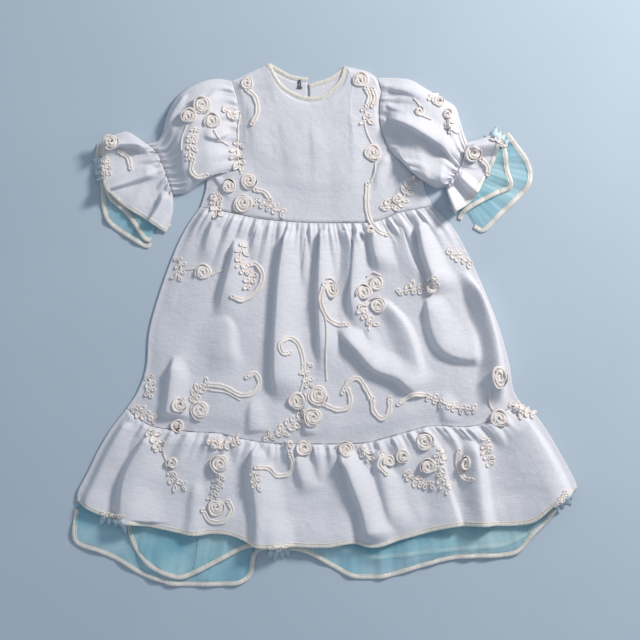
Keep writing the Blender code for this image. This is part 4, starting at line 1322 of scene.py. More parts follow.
FLOUNCE_FOLDS = (
    Fold(((-266, -122), (-296, -186), (-318, -236), (-334, -280)), 8, 18, 32, 0.1, 0.0),
    Fold(((-232, -146), (-254, -187), (-265, -214), (-268, -262)), 14, 16, 48, 0.12, 0.0),
    Fold(((-172, -206), (-174, -240), (-177, -290)), 5, 16, 18, 0.3, 0.0),
    Fold(((-173, -146), (-172, -160), (-173, -176)), -5, 8, 8, 0.1, 0.3),
    Fold(((-181, -182), (-183, -195), (-184, -210)), -6, 8, 8, 0.3, 0.4),
    Fold(((-132, -158), (-138, -196), (-146, -240)), 5, 10, 18, 0.25, 0.5),
    Fold(((-90, -160), (-93, -190), (-89, -222), (-84, -262), (-83, -300)), 14, 19, 36, 0.12, 0.05),
    Fold(((-38, -170), (-30, -198), (-20, -230)), 7, 16, 20, 0.2, 0.4),
    Fold(((20, -168), (34, -190), (46, -218), (58, -252), (68, -296)), 17, 18, 30, 0.12, 0.15),
    Fold(((70, -162), (80, -204), (90, -244), (102, -286)), 8, 20, 24, 0.15, 0.3),
    Fold(((90, -170), (94, -188), (116, -200)), -6, 12, 12, 0.3, 0.3),
    Fold(((150, -156), (158, -205), (168, -240), (178, -276)), 8, 36, 9, 0.15, 0.0),
    Fold(((194, -152), (201, -205), (205, -250), (208, -290)), 15, 24, 22, 0.15, 0.05),
    Fold(((262, -122), (290, -168), (318, -224), (344, -276)), 13, 80, 16, 0.1, 0.0),
)
SLEEVE_FOLDS = {
    Side.LEFT: (
        Fold(((-140, 318), (-180, 270), (-214, 214)), 5, 14, 18),
        Fold(((-160, 300), (-182, 250), (-196, 190)), 4, 10, 14),
        Fold(((-126, 262), (-145, 252), (-164, 257)), 6, 16, 7, 0.3, 0.3),
        Fold(((-186, 312), (-204, 282), (-222, 250)), 4, 8, 10),
    ),
    Side.RIGHT: (
        Fold(((80, 284), (104, 274), (127, 262), (157, 243), (182, 221)), 13, 9, 22, 0.15, 0.15),
        Fold(((74, 234), (100, 217), (128, 203), (168, 194)), 14, 10, 30, 0.1, 0.15),
        Fold(((79, 299), (102, 287), (126, 279)), 4, 8, 8),
        Fold(((167, 287), (170, 255), (184, 222)), 6, 5, 10, 0.3, 0.1),
        Fold(((82, 318), (104, 316), (128, 306), (146, 290)), 4, 8, 12),
    ),
}
BODICE_FOLDS = (
    Fold(((-104, 300), (-96, 262), (-92, 220)), 1.2, 10, 22),
    Fold(((-60, 280), (-48, 230), (-46, 170)), 0.9, 12, 24),
    Fold(((-18, 270), (-12, 220), (-14, 156)), 1.0, 10, 22),
    Fold(((34, 290), (40, 240), (38, 180)), 1.2, 10, 24),
    Fold(((84, 228), (72, 206), (70, 170)), 3.0, 8, 14),
    Fold(((118, 200), (104, 186), (92, 160)), 3.0, 8, 12),
    Fold(((-150, 202), (-136, 186), (-124, 164)), 3.0, 8, 12),
)
PUFF_HEIGHTS = {Side.LEFT: 20.0, Side.RIGHT: 18.0}
CUFF_FOLDS = {
    Side.LEFT: (
        Fold(((-304, 244), (-258, 247), (-232, 238)), 15, 11, 15, 0.0, 0.2),
        Fold(((-306, 180), (-254, 199), (-224, 210)), 12, 17, 10, 0.0, 0.2),
        Fold(((-242, 124), (-220, 156), (-211, 180)), 11, 10, 14, 0.0, 0.2),
        Fold(((-285, 240), (-277, 227), (-252, 220), (-228, 222)), -5, 9, 9, 0.3, 0.1),
        Fold(((-262, 160), (-240, 176), (-226, 188)), -3, 5, 5, 0.2, 0.2),
    ),
    Side.RIGHT: (
        Fold(((190, 236), (208, 236), (244, 240)), 13, 16, 16, 0.2, 0.0),
        Fold(((180, 206), (194, 192), (218, 170)), 14, 12, 13, 0.15, 0.0),
        Fold(((169, 186), (176, 168), (187, 140)), 27, 12, 13, 0.1, 0.0),
    ),
}

# What each panel was cut to, in metres and square metres: width, length, area
CUTS: dict[str, Triple] = {
    "bodice_back_left": (0.150, 0.215, 0.0230),
    "bodice_back_right": (0.165, 0.215, 0.0240),
    "bodice_front": (0.320, 0.220, 0.0440),
    "skirt_back": (0.540, 0.310, 0.1330),
    "skirt_front": (0.600, 0.310, 0.1750),
    "flounce_back": (0.720, 0.150, 0.0800),
    "flounce_front": (0.800, 0.145, 0.1100),
    "organza_back": (0.700, 0.210, 0.1100),
    "organza_front": (0.700, 0.200, 0.1050),
    "sleeve_left_under": (0.130, 0.125, 0.0130),
    "sleeve_right_under": (0.130, 0.120, 0.0125),
    "sleeve_left_upper": (0.150, 0.140, 0.0150),
    "sleeve_right_upper": (0.150, 0.140, 0.0150),
    "cuff_left_under": (0.125, 0.080, 0.0070),
    "cuff_right_under": (0.110, 0.050, 0.0045),
    "cuff_left_upper": (0.150, 0.085, 0.0100),
    "cuff_right_upper": (0.130, 0.055, 0.0055),
    "cuff_left_organza_under": (0.150, 0.085, 0.0080),
    "cuff_left_organza_upper": (0.150, 0.070, 0.0070),
    "cuff_right_organza_under": (0.150, 0.085, 0.0080),
    "cuff_right_organza_upper": (0.130, 0.065, 0.0050),
}


def joined(*lines: Array) -> Array:
    """Lines joined end to start, each shared point once."""
    return np.vstack([lines[0], *[line[1:] for line in lines[1:]]])


def hem_line(name: str, short: float = 0.0) -> Array:
    """Where the cloth ends inside the binding of a finished hem."""
    return shifted(edge(name), BINDING_WIDTH + short)


@dataclass
class BackLayers:
    """The back panels, which lie flat on the surface."""

    sheets: list[Cloth] = field(default_factory=list)

    def build(self, relief: Relief) -> None:
        """Lay the backs and sew their bindings.

        Args:
            relief: Heights laid so far.
        """
        bare = Relief()
        necks = self.bodice(relief, bare)
        self.sheet("skirt_back", Panel(edge("waist"), edge("tier"), edge("skirt_left"),
                                       edge("skirt_right")), relief, bare)
        hem = self.sheet("flounce_back",
                         Panel(edge("tier"), hem_line("hem", BACK_HEM_SHORT),
                               edge("flounce_left"), edge("flounce_right")), relief, bare)
        for name, weave in necks.items():
            self.sew(name, "bodice_back_" + name.rsplit("_", 1)[1], weave, relief, bare)
        piece = Binding("hem_binding_back", -1).sew(hem.points[-1], relief, bare)
        self.sheets[-1].companions.append(piece)

    def sheet(self, name: str, panel: Panel, relief: Relief, bare: Relief) -> Weave:
        """Lay one flat panel.

        Args:
            name: Name of its solid.
            panel: Its edges seen from above.
            relief: Heights laid so far.
            bare: The bare surface.

        Returns:
            The sheet's points as laid.
        """
        cloth = Cloth(f"{name}_cloth", name, panel, 60, 30, rise=flat_cloth)
        self.sheets.append(cloth)
        return cloth.lay(relief, bare)

    def bodice(self, relief: Relief, bare: Relief) -> dict[str, Array]:
        """Lay both back halves and return their neck edges.

        Args:
            relief: Heights laid so far.
            bare: The bare surface.

        Returns:
            Rows of x, y, z along each neck edge, by binding.
        """
        waist = edge("waist")
        foot = np.interp(SLIT_LEFT_X, waist[:, 0], waist[:, 1])
        left_neck = shifted(edge("neck_back_left"), -NECK_BINDING_WIDTH)
        right_neck = shifted(edge("neck_back_right"), -NECK_BINDING_WIDTH)
        left_neck[-1, 0], right_neck[0, 0] = SLIT_LEFT_X, SLIT_RIGHT_X
        left = Panel(np.vstack([edge("shoulder_left")[:0:-1], left_neck]),
                     np.vstack([waist[waist[:, 0] < SLIT_LEFT_X], [[SLIT_LEFT_X, foot]]]),
                     joined(edge("armhole_left"), edge("side_left")),
                     np.array([left_neck[-1], [SLIT_LEFT_X, foot]]))
        right = Panel(np.vstack([right_neck, edge("shoulder_right")[1:]]),
                      np.vstack([[[SLIT_RIGHT_X, foot]], waist[waist[:, 0] > SLIT_RIGHT_X]]),
                      np.array([right_neck[0], [SLIT_RIGHT_X, foot]]),
                      joined(edge("armhole_right"), edge("side_right")))
        self.sheet("bodice_back_left", left, relief, bare)
        self.sheet("bodice_back_right", right, relief, bare)
        level = CLEARANCE + LINEN
        return {f"neck_binding_back_{side}": np.column_stack([neck, np.full(len(neck), level)])
                for side, neck in (("left", left_neck), ("right", right_neck))}

    def sew(self, name: str, node: str, rim: Array, relief: Relief, bare: Relief) -> None:
        """Sew a neck binding on its half of the back.

        Args:
            name: Name of the binding's solid.
            node: Name of the back half's solid.
            rim: Rows of x, y, z along the edge.
            relief: Heights laid so far.
            bare: The bare surface.
        """
        piece = Binding(name, 1, NECK_BINDING_WIDTH).sew(rim, relief, bare)
        for cloth in self.sheets:
            if cloth.node == node:
                cloth.companions.append(piece)


def flat_cloth(weave: Weave) -> Rise:
    """Cloth that lies flat but for its crinkles."""
    seed = int(abs(weave.x[0, 0])) + 7
    return crinkles(weave, seed, 0.2) + 0.2, np.zeros((*weave.x.shape, 2))


# Places along the seam of the front organza
ORGANZA_SEAM: tuple[Point, ...] = ((-172, -287), (-173, -306), (-176, -328))


@dataclass
class Underflounces:
    """The two sheer underflounces below the hem."""

    sheets: list[Cloth] = field(default_factory=list)

    def build(self, relief: Relief) -> None:
        """Lay the back one, then the front one, each with its binding.

        Args:
            relief: Heights laid so far.
        """
        for side, seed in (("back", 21), ("front", 22)):
            ground = relief.smoothed(6)
            start = smooth_line([EDGE_LINES[f"organza_{side}_left"][1][0], (-180, -158),
                                 (-84, -170), (43, -172), (111, -157), (192, -149),
                                 EDGE_LINES[f"organza_{side}_right"][1][0]], 200)
            panel = Panel(start, hem_line(f"organza_{side}_hem"), edge(f"organza_{side}_left"),
                          edge(f"organza_{side}_right"))
            cloth = Cloth(f"organza_{side}_cloth", f"organza_{side}", panel, 240, 46,
                          rise=Ripples(18, seed, 3.0, 0.34), finish=SHEER_FINISH,
                          thickness=ORGANZA, rests_on=("flounce_back",))
            weave = cloth.lay(relief, ground)
            piece = Binding(f"organza_binding_{side}", -1).sew(weave.points[-1], relief, ground)
            cloth.companions.append(piece)
            self.sheets.append(cloth)
        self.sheets[-1].companions.append(self.seam(relief))

    @staticmethod
    def seam(relief: Relief) -> Piece:
        """Lay the narrow seam between two widths of the front organza.

        Args:
            relief: Heights laid so far.

        Returns:
            The seam's piece.
        """
        line = smooth_line(ORGANZA_SEAM, 40)
        path = np.column_stack([line, relief.height(*line.T)])
        thin = np.full(len(line), 0.75)
        bundle = Bundle()
        bundle.add(*swept(path, thin, STEM_SECTION, 0.6 * thin, None))
        return bundle.piece("organza_front_seam", SEAM_FINISH)


@dataclass(frozen=True)
class Ripples:
    """Soft waves that rise towards a free hem.

    Attributes:
        count: Waves along the hem.
        seed: Start of their random draws.
        height: Their usual height.
        reach: Share of the panel's length that they take.
    """

    count: int
    seed: int
    height: float
    reach: float

    def __call__(self, weave: Weave) -> Rise:
        """Heights and sideways steps.

        Args:
            weave: The panel's points.

        Returns:
            The heights, and sideways steps.
        """
        waves = Gathers(self.count, self.seed, self.height, self.reach, 0.9)
        fine = Gathers(3 * self.count, self.seed + 50, 0.25 * self.height, 1.4 * self.reach)
        rise = waves.rise(weave.u, 1 - weave.v) + fine.rise(weave.u, 1 - weave.v)
        rise = rise + 0.4 * noise(weave.x / 26, weave.y / 19, self.seed + 2) + 0.4
        return side_fade(weave.u, 0.03) * rise, np.zeros((*weave.x.shape, 2))


@dataclass
class Skirt:
    """The gathered skirt front and the gathered flounce below it.

    Attributes:
        sheets: Its sheets of cloth, from the lowest up.
        lean: How far a crest leans for each unit of its height.
        skirt_air: Air under the middle of the skirt.
        flounce_air: Air under the middle of the flounce.
        waist_gathers: Gathers below the waist.
        waist_pleats: Fine pleats between them.
        tier_gathers: Gathers below the tier seam.
        tier_pleats: Fine pleats between them.
    """

    sheets: list[Cloth] = field(default_factory=list)
    lean: float = 0.35
    skirt_air: float = 3.5
    flounce_air: float = 2.5
    waist_gathers: Gathers = Gathers(22, 5, 6.5, 0.28)
    waist_pleats: Gathers = Gathers(48, 105, 3.2, 0.13, 0.4)
    tier_gathers: Gathers = Gathers(26, 8, 6.0, 0.46)
    tier_pleats: Gathers = Gathers(58, 108, 3.2, 0.24, 0.4)

    def build(self, relief: Relief, cover: Relief) -> None:
        """Lay the skirt, the flounce and its binding.

        Args:
            relief: Heights laid so far.
            cover: What the top layers lie on.
        """
        panel = Panel(edge("waist"), edge("tier"), edge("skirt_left"), edge("skirt_right"))
        skirt = Cloth("skirt_front_cloth", "skirt_front", panel, 280, 160, rise=self.skirt_rise,
                      held="gathered", rests_on=("skirt_back",))
        skirt.lay(relief, cover)
        panel = Panel(edge("tier"), hem_line("hem"), edge("flounce_left"),
                      edge("flounce_right"))
        flounce = Cloth("flounce_front_cloth", "flounce_front", panel, 340, 80,
                        rise=self.flounce_rise, held="gathered",
                        rests_on=("flounce_back", "organza_front"))
        weave = flounce.lay(relief, cover)
        piece = Binding("hem_binding_front", -1).sew(weave.points[-1], relief, cover)
        flounce.companions.append(piece)
        self.sheets += [skirt, flounce]

    def skirt_rise(self, weave: Weave) -> Rise:
        """Long folds from the waist and short gathers between them.

        Args:
            weave: The panel's points.

        Returns:
            The heights, and sideways steps.
        """
        u, v = weave.u, weave.v
        ends = ease(0.0, 0.05, v) * (1 - 0.8 * ease(0.95, 1.0, v))
        long, push = folded(weave, SKIRT_FOLDS, self.lean)
        short = self.waist_gathers.rise(u, v)
        pleats = self.waist_pleats.rise(u, v)
        body = self.skirt_air * side_fade(u, 0.12) * ease(0, 0.08, v) * (1 - ease(0.9, 1, v))
        undulation = 1.3 * noise(weave.x / 34, weave.y / 52, 11) + 1.3
        small = crinkles(weave, 12, 0.42) + 0.42
        rise = body + np.maximum(long * ends, short) + pleats
        rise = rise + (undulation + small) * side_fade(u, 0.05)
        fade = side_fade(u, 0.03)
        return np.minimum(fade * rise, HIGHEST_FOLD), push * (fade * ends)[..., None]

    def flounce_rise(self, weave: Weave) -> Rise:
        """Folds and gathers from the tier seam to the hem.

        Args:
            weave: The panel's points.

        Returns:
            The heights, and sideways steps.
        """
        u, v = weave.u, weave.v
        long, push = folded(weave, FLOUNCE_FOLDS, self.lean)
        start = ease(0.0, 0.12, v)
        short = self.tier_gathers.rise(u, v)
        pleats = self.tier_pleats.rise(u, v)
        body = self.flounce_air * side_fade(u, 0.1) * ease(0, 0.15, v)
        undulation = 1.2 * noise(weave.x / 27, weave.y / 36, 14) + 1.2
        small = crinkles(weave, 15, 0.4) + 0.4
        rise = body + np.maximum(long * start, short) + pleats
        rise = rise + (undulation + small) * side_fade(u, 0.05)
        fade = side_fade(u, 0.03)
        return np.minimum(fade * rise, HIGHEST_FOLD), push * (fade * start)[..., None]


@dataclass
class Bodice:
    """The bodice front and its neck binding.

    Attributes:
        sheets: Its sheet of cloth.
        lean: How far a crest leans for each unit of its height.
        air: Air under the middle of the bodice.
    """

    sheets: list[Cloth] = field(default_factory=list)
    lean: float = 0.2
    air: float = 4.0

    def build(self, relief: Relief, cover: Relief) -> None:
        """Lay the bodice front and bind its neck.

        Args:
            relief: Heights laid so far.
            cover: What the top layers lie on.
        """
        neck = shifted(edge("neck_front"), -NECK_BINDING_WIDTH)
        top = np.vstack([edge("shoulder_left")[:0:-1], neck, edge("shoulder_right")[1:]])
        panel = Panel(top, edge("waist"), joined(edge("armhole_left"), edge("side_left")),
                      joined(edge("armhole_right"), edge("side_right")))
        cloth = Cloth("bodice_front_cloth", "bodice_front", panel, 220, 150, rise=self.rise,
                      rests_on=("bodice_back_left", "bodice_back_right"))
        weave = cloth.lay(relief, cover)
        rim = np.column_stack([neck, relief.height(*(neck - (0, 1.5)).T)])
        rim[:, 2] = np.maximum(rim[:, 2], cover.height(*neck.T) + CLEARANCE + LINEN)
        piece = Binding("neck_binding_front", 1, NECK_BINDING_WIDTH).sew(rim, relief, cover)
        cloth.companions.append(piece)
        self.sheets.append(cloth)
        log.info("bodice rises to %.1f mm", weave.z.max())

    def rise(self, weave: Weave) -> Rise:
        """A low dome with soft creases that run from the armholes.

        Args:
            weave: The panel's points.

        Returns:
            The heights, and sideways steps.
        """
        u, v = weave.u, weave.v
        dome = self.air * np.sin(math.pi * u) * np.sin(math.pi * np.clip(v, 0, 1))
        foot = 0.3 + 0.7 * ease(0, 0.02, 1 - v)
        rim = ease(0, 0.04, np.minimum(np.minimum(u, 1 - u), v)) * foot
        long, push = folded(weave, BODICE_FOLDS, self.lean)
        undulation = 1.3 * noise(weave.x / 30, weave.y / 40, 17) + 1.3
        small = crinkles(weave, 18, 0.42) + 0.42
        return rim * (dome + long + undulation + small), push * rim[..., None]


@dataclass
class Sleeve:
    """One puff sleeve.

    Attributes:
        side: Which sleeve.
        seed: Start of its random draws.
    """

    side: Side
    seed: int
    sheets: list[Cloth] = field(default_factory=list)

    @property
    def panel(self) -> Panel:
        """The sleeve's edges, from its armhole to its gathered line."""
        name = self.side.value
        return Panel(edge(f"armhole_{name}"), edge(f"sleeve_{name}_gather"),
                     edge(f"sleeve_{name}_top"), edge(f"sleeve_{name}_bottom"))

    def build_under(self, relief: Relief) -> None:
        """Lay the wall that rests on the surface.

        Args:
            relief: Heights laid so far.
        """
        name = f"sleeve_{self.side.value}_under"
        cloth = Cloth(f"{name}_cloth", name, self.panel, 30, 20, rise=flat_cloth)
        cloth.lay(relief, Relief())
        self.sheets.append(cloth)

    def build_upper(self, relief: Relief, cover: Relief) -> None:
        """Lay the puffed wall.

        Args:
            relief: Heights laid so far.
            cover: What the top layers lie on.
        """
        name = f"sleeve_{self.side.value}_upper"
        cloth = Cloth(f"{name}_cloth", name, self.panel, 130, 110, rise=self.rise,
                      held="gathered", rests_on=(f"sleeve_{self.side.value}_under",))
        cloth.lay(relief, cover)
        self.sheets.append(cloth)

    def rise(self, weave: Weave) -> Rise:
        """A puff with gathers at both ends and a few long folds.

        Args:
            weave: The panel's points.

        Returns:
            The heights, and sideways steps.
        """
        u, v = weave.u, weave.v
        around = np.sqrt(np.clip(4 * u * (1 - u), 0, 1))
        along = ease(-0.05, 0.42, v) * (1 - 0.85 * ease(0.66, 1.03, v))
        dome = PUFF_HEIGHTS[self.side] * around * along
        cap = Gathers(SLEEVE_GATHERS, self.seed, CAP_HEIGHT, CAP_REACH).rise(u, v)
        cap = cap + Gathers(19, self.seed + 60, FINE_PLEAT_HEIGHT, 0.16, 0.4).rise(u, v)
        wrist = Gathers(SLEEVE_GATHERS, self.seed + 1, WRIST_HEIGHT, WRIST_REACH).rise(u, 1 - v)
        fine = Gathers(17, self.seed + 61, FINE_PLEAT_HEIGHT, 0.16, 0.5)
        wrist = wrist + fine.rise(u, 1 - v)
        ends = ease(0, 0.12, v) * (1 - ease(0.88, 1, v))
        long, push = folded(weave, SLEEVE_FOLDS[self.side], 0.3)
        undulation = 1.5 * noise(weave.x / 21, weave.y / 25, self.seed + 4)
        small = crinkles(weave, self.seed + 5, 0.4)
        fade = side_fade(u, 0.08)
        rise = fade * (cap + wrist + (long + undulation) * ends + small) + dome
        return np.minimum(rise, HIGHEST_PUFF), push * (fade * ends)[..., None]


@dataclass
class Cuff:
    """The linen and organza flounces of one cuff.

    Attributes:
        side: Which cuff.
        seed: Start of its random draws.
    """

    side: Side
    seed: int
    sheets: list[Cloth] = field(default_factory=list)

    @property
    def inward(self) -> int:
        """1 where the cloth is left of the hem's direction, else -1."""
        return 1 if self.side is Side.LEFT else -1

    def edges(self) -> tuple[Array, Array, Array]:
        """The gathered line, and the cuff's upper and lower side folds."""
        name = self.side.value
        return (edge(f"sleeve_{name}_gather"), edge(f"cuff_{name}_top"),
                edge(f"cuff_{name}_bottom"))

    def build_under(self, relief: Relief) -> None:
        """Lay the linen wall that rests on the surface.

        Args:
            relief: Heights laid so far.
        """
        gather, top, bottom = self.edges()
        name = f"cuff_{self.side.value}"
        hem = shifted(edge(f"{name}_hem"), self.inward * (BINDING_WIDTH + BACK_HEM_SHORT))
        self.lay("under", Panel(gather, hem, top, bottom), (40, 20), flat_cloth, relief,
                 Relief())

    def build_organza(self, relief: Relief) -> None:
        """Lay the two sheer layers between the linen ones.

        Args:
            relief: Heights laid so far.
        """
        gather, top, bottom = self.edges()
        name = f"cuff_{self.side.value}"
        start = Panel(gather, edge(f"{name}_hem"), top, bottom).weave(25, 5).points[1, 3:23, :2]
        for layer in ("under", "upper"):
            hem = shifted(edge(f"{name}_organza_{layer}_hem"), self.inward * BINDING_WIDTH)
            left = resample(np.array([start[0], hem[0]]), 8)
            right = resample(np.array([start[-1], hem[-1]]), 8)
            self.lay(f"organza_{layer}", Panel(start, hem, left, right), (80, 36),
                     Ripples(6, self.seed + 3, 2.6, 0.7), relief, relief.smoothed(4),
                     finish=SHEER_FINISH, thickness=ORGANZA, binding=f"organza_binding_{layer}")

    def build_upper(self, relief: Relief, cover: Relief) -> None:
        """Lay the linen wall that shows.

        Args:
            relief: Heights laid so far.
            cover: What the top layers lie on.
        """
        gather, top, bottom = self.edges()
        name = f"cuff_{self.side.value}"
        hem = shifted(edge(f"{name}_hem"), self.inward * BINDING_WIDTH)
        self.lay("upper", Panel(gather, hem, top, bottom), (110, 64), self.rise, relief, cover)

    def lay(self, layer: str, panel: Panel, size: tuple[int, int],
            rise: Callable[[Weave], Rise], relief: Relief, ground: Relief,
            finish: Finish = LINEN_FINISH, thickness: float = LINEN,
            binding: str = "") -> None:
        """Lay one layer and sew its binding.

        Args:
            layer: Which layer.
            panel: Its edges seen from above.
            size: Stretches from side to side, and from top to hem.
            rise: Its heights above what it lies on.
            relief: Heights laid so far.
            ground: What it lies on.
            finish: Its finish.
            thickness: Its thickness.
            binding: Last part of its binding's name, where it isn't the layer's.
        """
        name = f"cuff_{self.side.value}"
        below = {"under": (), "organza_under": (f"{name}_under",),
                 "organza_upper": (f"{name}_organza_under",),
                 "upper": (f"{name}_organza_upper",)}[layer]
        cloth = Cloth(f"{name}_{layer}_cloth", f"{name}_{layer}", panel, *size, rise=rise,
                      finish=finish, thickness=thickness, rests_on=below,
                      held="gathered" if layer == "upper" else "laid")
        weave = cloth.lay(relief, ground)
        node = f"{name}_{binding or 'binding_' + layer}"
        piece = Binding(node, -self.inward).sew(weave.points[-1], relief, ground)
        cloth.companions.append(piece)
        self.sheets.append(cloth)

    def rise(self, weave: Weave) -> Rise:
        """Flutes that open from the gathered line to the hem.

        Args:
            weave: The panel's points.

        Returns:
            The heights, and sideways steps.
        """
        u, v = weave.u, weave.v
        around = np.sqrt(np.clip(4 * u * (1 - u), 0, 1))
        neck = 3.2 * around * (1 - ease(0.0, 0.8, v))
        short = Gathers(CUFF_GATHERS, self.seed, CUFF_HEIGHT, CUFF_REACH).rise(u, v)
        pleats = Gathers(17, self.seed + 60, FINE_PLEAT_HEIGHT, 0.3, 0.5).rise(u, v)
        wave = Gathers(4, self.seed + 1, 3.5, 0.9, 0.9).rise(u, 1 - v)
        long, push = folded(weave, CUFF_FOLDS[self.side], 0.3)
        small = crinkles(weave, self.seed + 5, 0.35) + 0.35
        fade = side_fade(u, 0.06)
        rise = neck + fade * (np.maximum(np.maximum(short, wave), long) + pleats + small)
        return rise, push * (fade * ease(0, 0.1, v))[..., None]


# Ribbon

# Heights across a small ribbon loop, from its rim to its middle, as shares of its size
LOOP_RINGS: tuple[Point, ...] = ((1.0, -0.15), (0.92, 0.75), (0.72, 1.0), (0.5, 0.7), (0.28, 0.1))
LOOP_SIDES = 12

# How much wider than its seat a rose spreads
FULLNESS = 1.16

# Section of the ribbon that is rolled into roses
ROLL_SECTION: tuple[Point, ...] = (
    (-1.0, -0.3), (-0.92, 0.6), (-0.4, 1.0), (0.15, 0.95), (0.75, 0.62), (1.0, -0.3))

# Each tuft: x, y, reach, and where it points, in degrees
TUFTS: dict[str, tuple[float, float, float, float]] = {
    "hem_tuft_left": (-285, -257, 22, 262),
    "hem_tuft_centre": (-62, -300, 18, 272),
    "hem_tuft_right": (316, -234, 18, 318),
    "cuff_left_tuft": (-297, 210, 20, 184),
    "cuff_right_tuft": (234, 247, 16, 62),
}


@dataclass
class Applique:
    """The ribbon roses, leaves and scrolls sewn on one panel.

    Attributes:
        panel: Name of the panel's solid.
        ground: The cloth that they lie on.
        bundle: What is laid so far.
        pitch: Distance between two turns of a rolled rose.
        start: Radius at which its roll starts.
        roll: Half width and height of its ribbon.
        cord_size: Half width and height of a double cord.
        stem_size: Half width and height of a stem.
        leaf: Half length, half width and height of a leaf.
        spacing: Distance between two leaves of a spray.
    """

    panel: str
    ground: Relief
    bundle: Bundle = field(default_factory=Bundle)
    pitch: float = 3.9
    start: float = 1.3
    roll: Point = (2.1, 2.1)
    cord_size: Point = (3.5, 2.1)
    stem_size: Point = (1.15, 1.4)
    leaf: Triple = (3.9, 2.6, 1.8)
    spacing: float = 8.6

    def build(self) -> Piece:
        """Lay every motif of the panel and return their piece.

        Returns:
            The piece.
        """
        for x, y, radius in ROSES[self.panel]:
            self.rose(x, y, FULLNESS * radius, 1.0, 0.0)
        for x, y, radius, stretch, angle in LONG_ROSES.get(self.panel, ()):
            self.rose(x, y, FULLNESS * radius, stretch, angle)
        for trim, points in TRIMS[self.panel]:
            if trim is CORD:
                self.cord(points)
            elif trim is STEM:
                self.stem(points)
            else:
                self.chain(points)
        return self.bundle.piece(f"{self.panel}_ribbons", RIBBON_FINISH)

    def sweep(self, line: Array, half_width: Array, section: Sequence[Point],
              height: Array, lift: Array | float = 0.0) -> None:
        """Lay a ribbon with a section along a line, lifted above the cloth.

        Args:
            line: Rows of x, y.
            half_width: Half width at each row.
            section: Corners of the section.
            height: Height at each row.
            lift: How far it is above the cloth.
        """
        base = self.ground.height(*line.T)
        for _ in range(3):
            base[1:-1] = 0.5 * base[1:-1] + 0.25 * (base[:-2] + base[2:])
        path = np.column_stack([line, base + lift])
        self.bundle.add(*swept(path, half_width, section, height, None))

    def rose(self, x: float, y: float, radius: float, stretch: float, angle: float) -> None:
        """Roll a ribbon into a rose: a spiral whose outer turn stands highest.

        Args:
            x: Its middle across the gown.
            y: Its middle along the gown.
            radius: Its radius.
            stretch: Its length for each unit of width.
            angle: Where its length points, in degrees.
        """
        random = np.random.default_rng(int(abs(31 * x + 17 * y)))
        turns = (radius - self.start) / self.pitch
        steps = max(12, round(turns * 22))
        share = np.linspace(0.0, 1.0, steps)
        phase = random.uniform(0, 2 * math.pi)
        turn = phase + 2 * math.pi * turns * share
        wobble = 1 + 0.08 * np.sin(0.8 * turn + phase) + 0.06 * np.sin(3.3 * turn + 2 * phase)
        reach = (self.start + (radius - 1.6 - self.start) * share) * wobble
        tilt = math.radians(angle)
        along, across = stretch * reach * np.cos(turn), reach * np.sin(turn)
        line = np.column_stack([x + along * math.cos(tilt) - across * math.sin(tilt),
                                y + along * math.sin(tilt) + across * math.cos(tilt)])
        height = self.roll[1] + 0.5 * np.sin(2.7 * turn + phase) + 0.4 * share
        seat = self.ground.height(*line.T)
        level = float(np.percentile(seat, 70))
        lift = 0.5 * (1 - share**2) + np.maximum(level - seat, 0.0)
        width = (self.roll[0] + 0.3 * np.sin(1.7 * turn)) * np.clip(5 * (1 - share), 0.35, 1.0)
        self.sweep(line, width, ROLL_SECTION, height, lift)
        self.loop(np.array([x, y]), 0.8 * radius * stretch, 0.8 * radius, tilt, 0.9, level)

    def loop(self, centre: Array, long: float, wide: float, angle: float,
             height: float, least: float = 0.05) -> None:
        """Lay a small pointed ribbon loop with its half length and half width.

        Args:
            centre: Its middle.
            long: Its half length.
            wide: Its half width.
            angle: Where it points, in radians.
            height: Its height.
            least: Least height above the surface.
        """
        turns = 2 * math.pi * np.arange(LOOP_SIDES) / LOOP_SIDES
        pointed = 1 - 0.16 * np.abs(np.sin(turns))
        rows = []
        for size, rise in LOOP_RINGS:
            along = size * long * np.cos(turns) * pointed
            across = size * wide * np.sin(turns)
            x = centre[0] + along * math.cos(angle) - across * math.sin(angle)
            y = centre[1] + along * math.sin(angle) + across * math.cos(angle)
            z = np.maximum(self.ground.height(x, y) + rise * height, least)
            rows.append(np.column_stack([x, y, z]))
        seat = self.ground.height(*centre[:, None])[0] + 0.3 * height
        middle = np.array([[*centre, max(seat, least)]])
        vertices = np.vstack([*rows, middle])
        faces: Faces = [tuple(range(LOOP_SIDES - 1, -1, -1))]
        for ring in range(len(LOOP_RINGS)):
            for i in range(LOOP_SIDES):
                a, b = ring * LOOP_SIDES + i, ring * LOOP_SIDES + (i + 1) % LOOP_SIDES
                if ring < len(LOOP_RINGS) - 1:
                    faces.append((a, b, b + LOOP_SIDES, a + LOOP_SIDES))
                else:
                    faces.append((a, b, len(vertices) - 1))
        self.bundle.add(vertices, faces, MILLIMETRE * vertices[:, :2])

    @staticmethod
    def even(points: Sequence[Point], step: float, least: int) -> tuple[Array, float]:
        """A smooth line cut into even steps.

        Args:
            points: Places along it.
            step: Length of a step.
            least: Least number of steps.

        Returns:
            Rows of x, y, and the line's length.
        """
        rough = smooth_line(points, 60)
        length = np.sum(np.linalg.norm(np.diff(rough, axis=0), axis=1))
        return resample(rough, max(least, round(length / step))), length

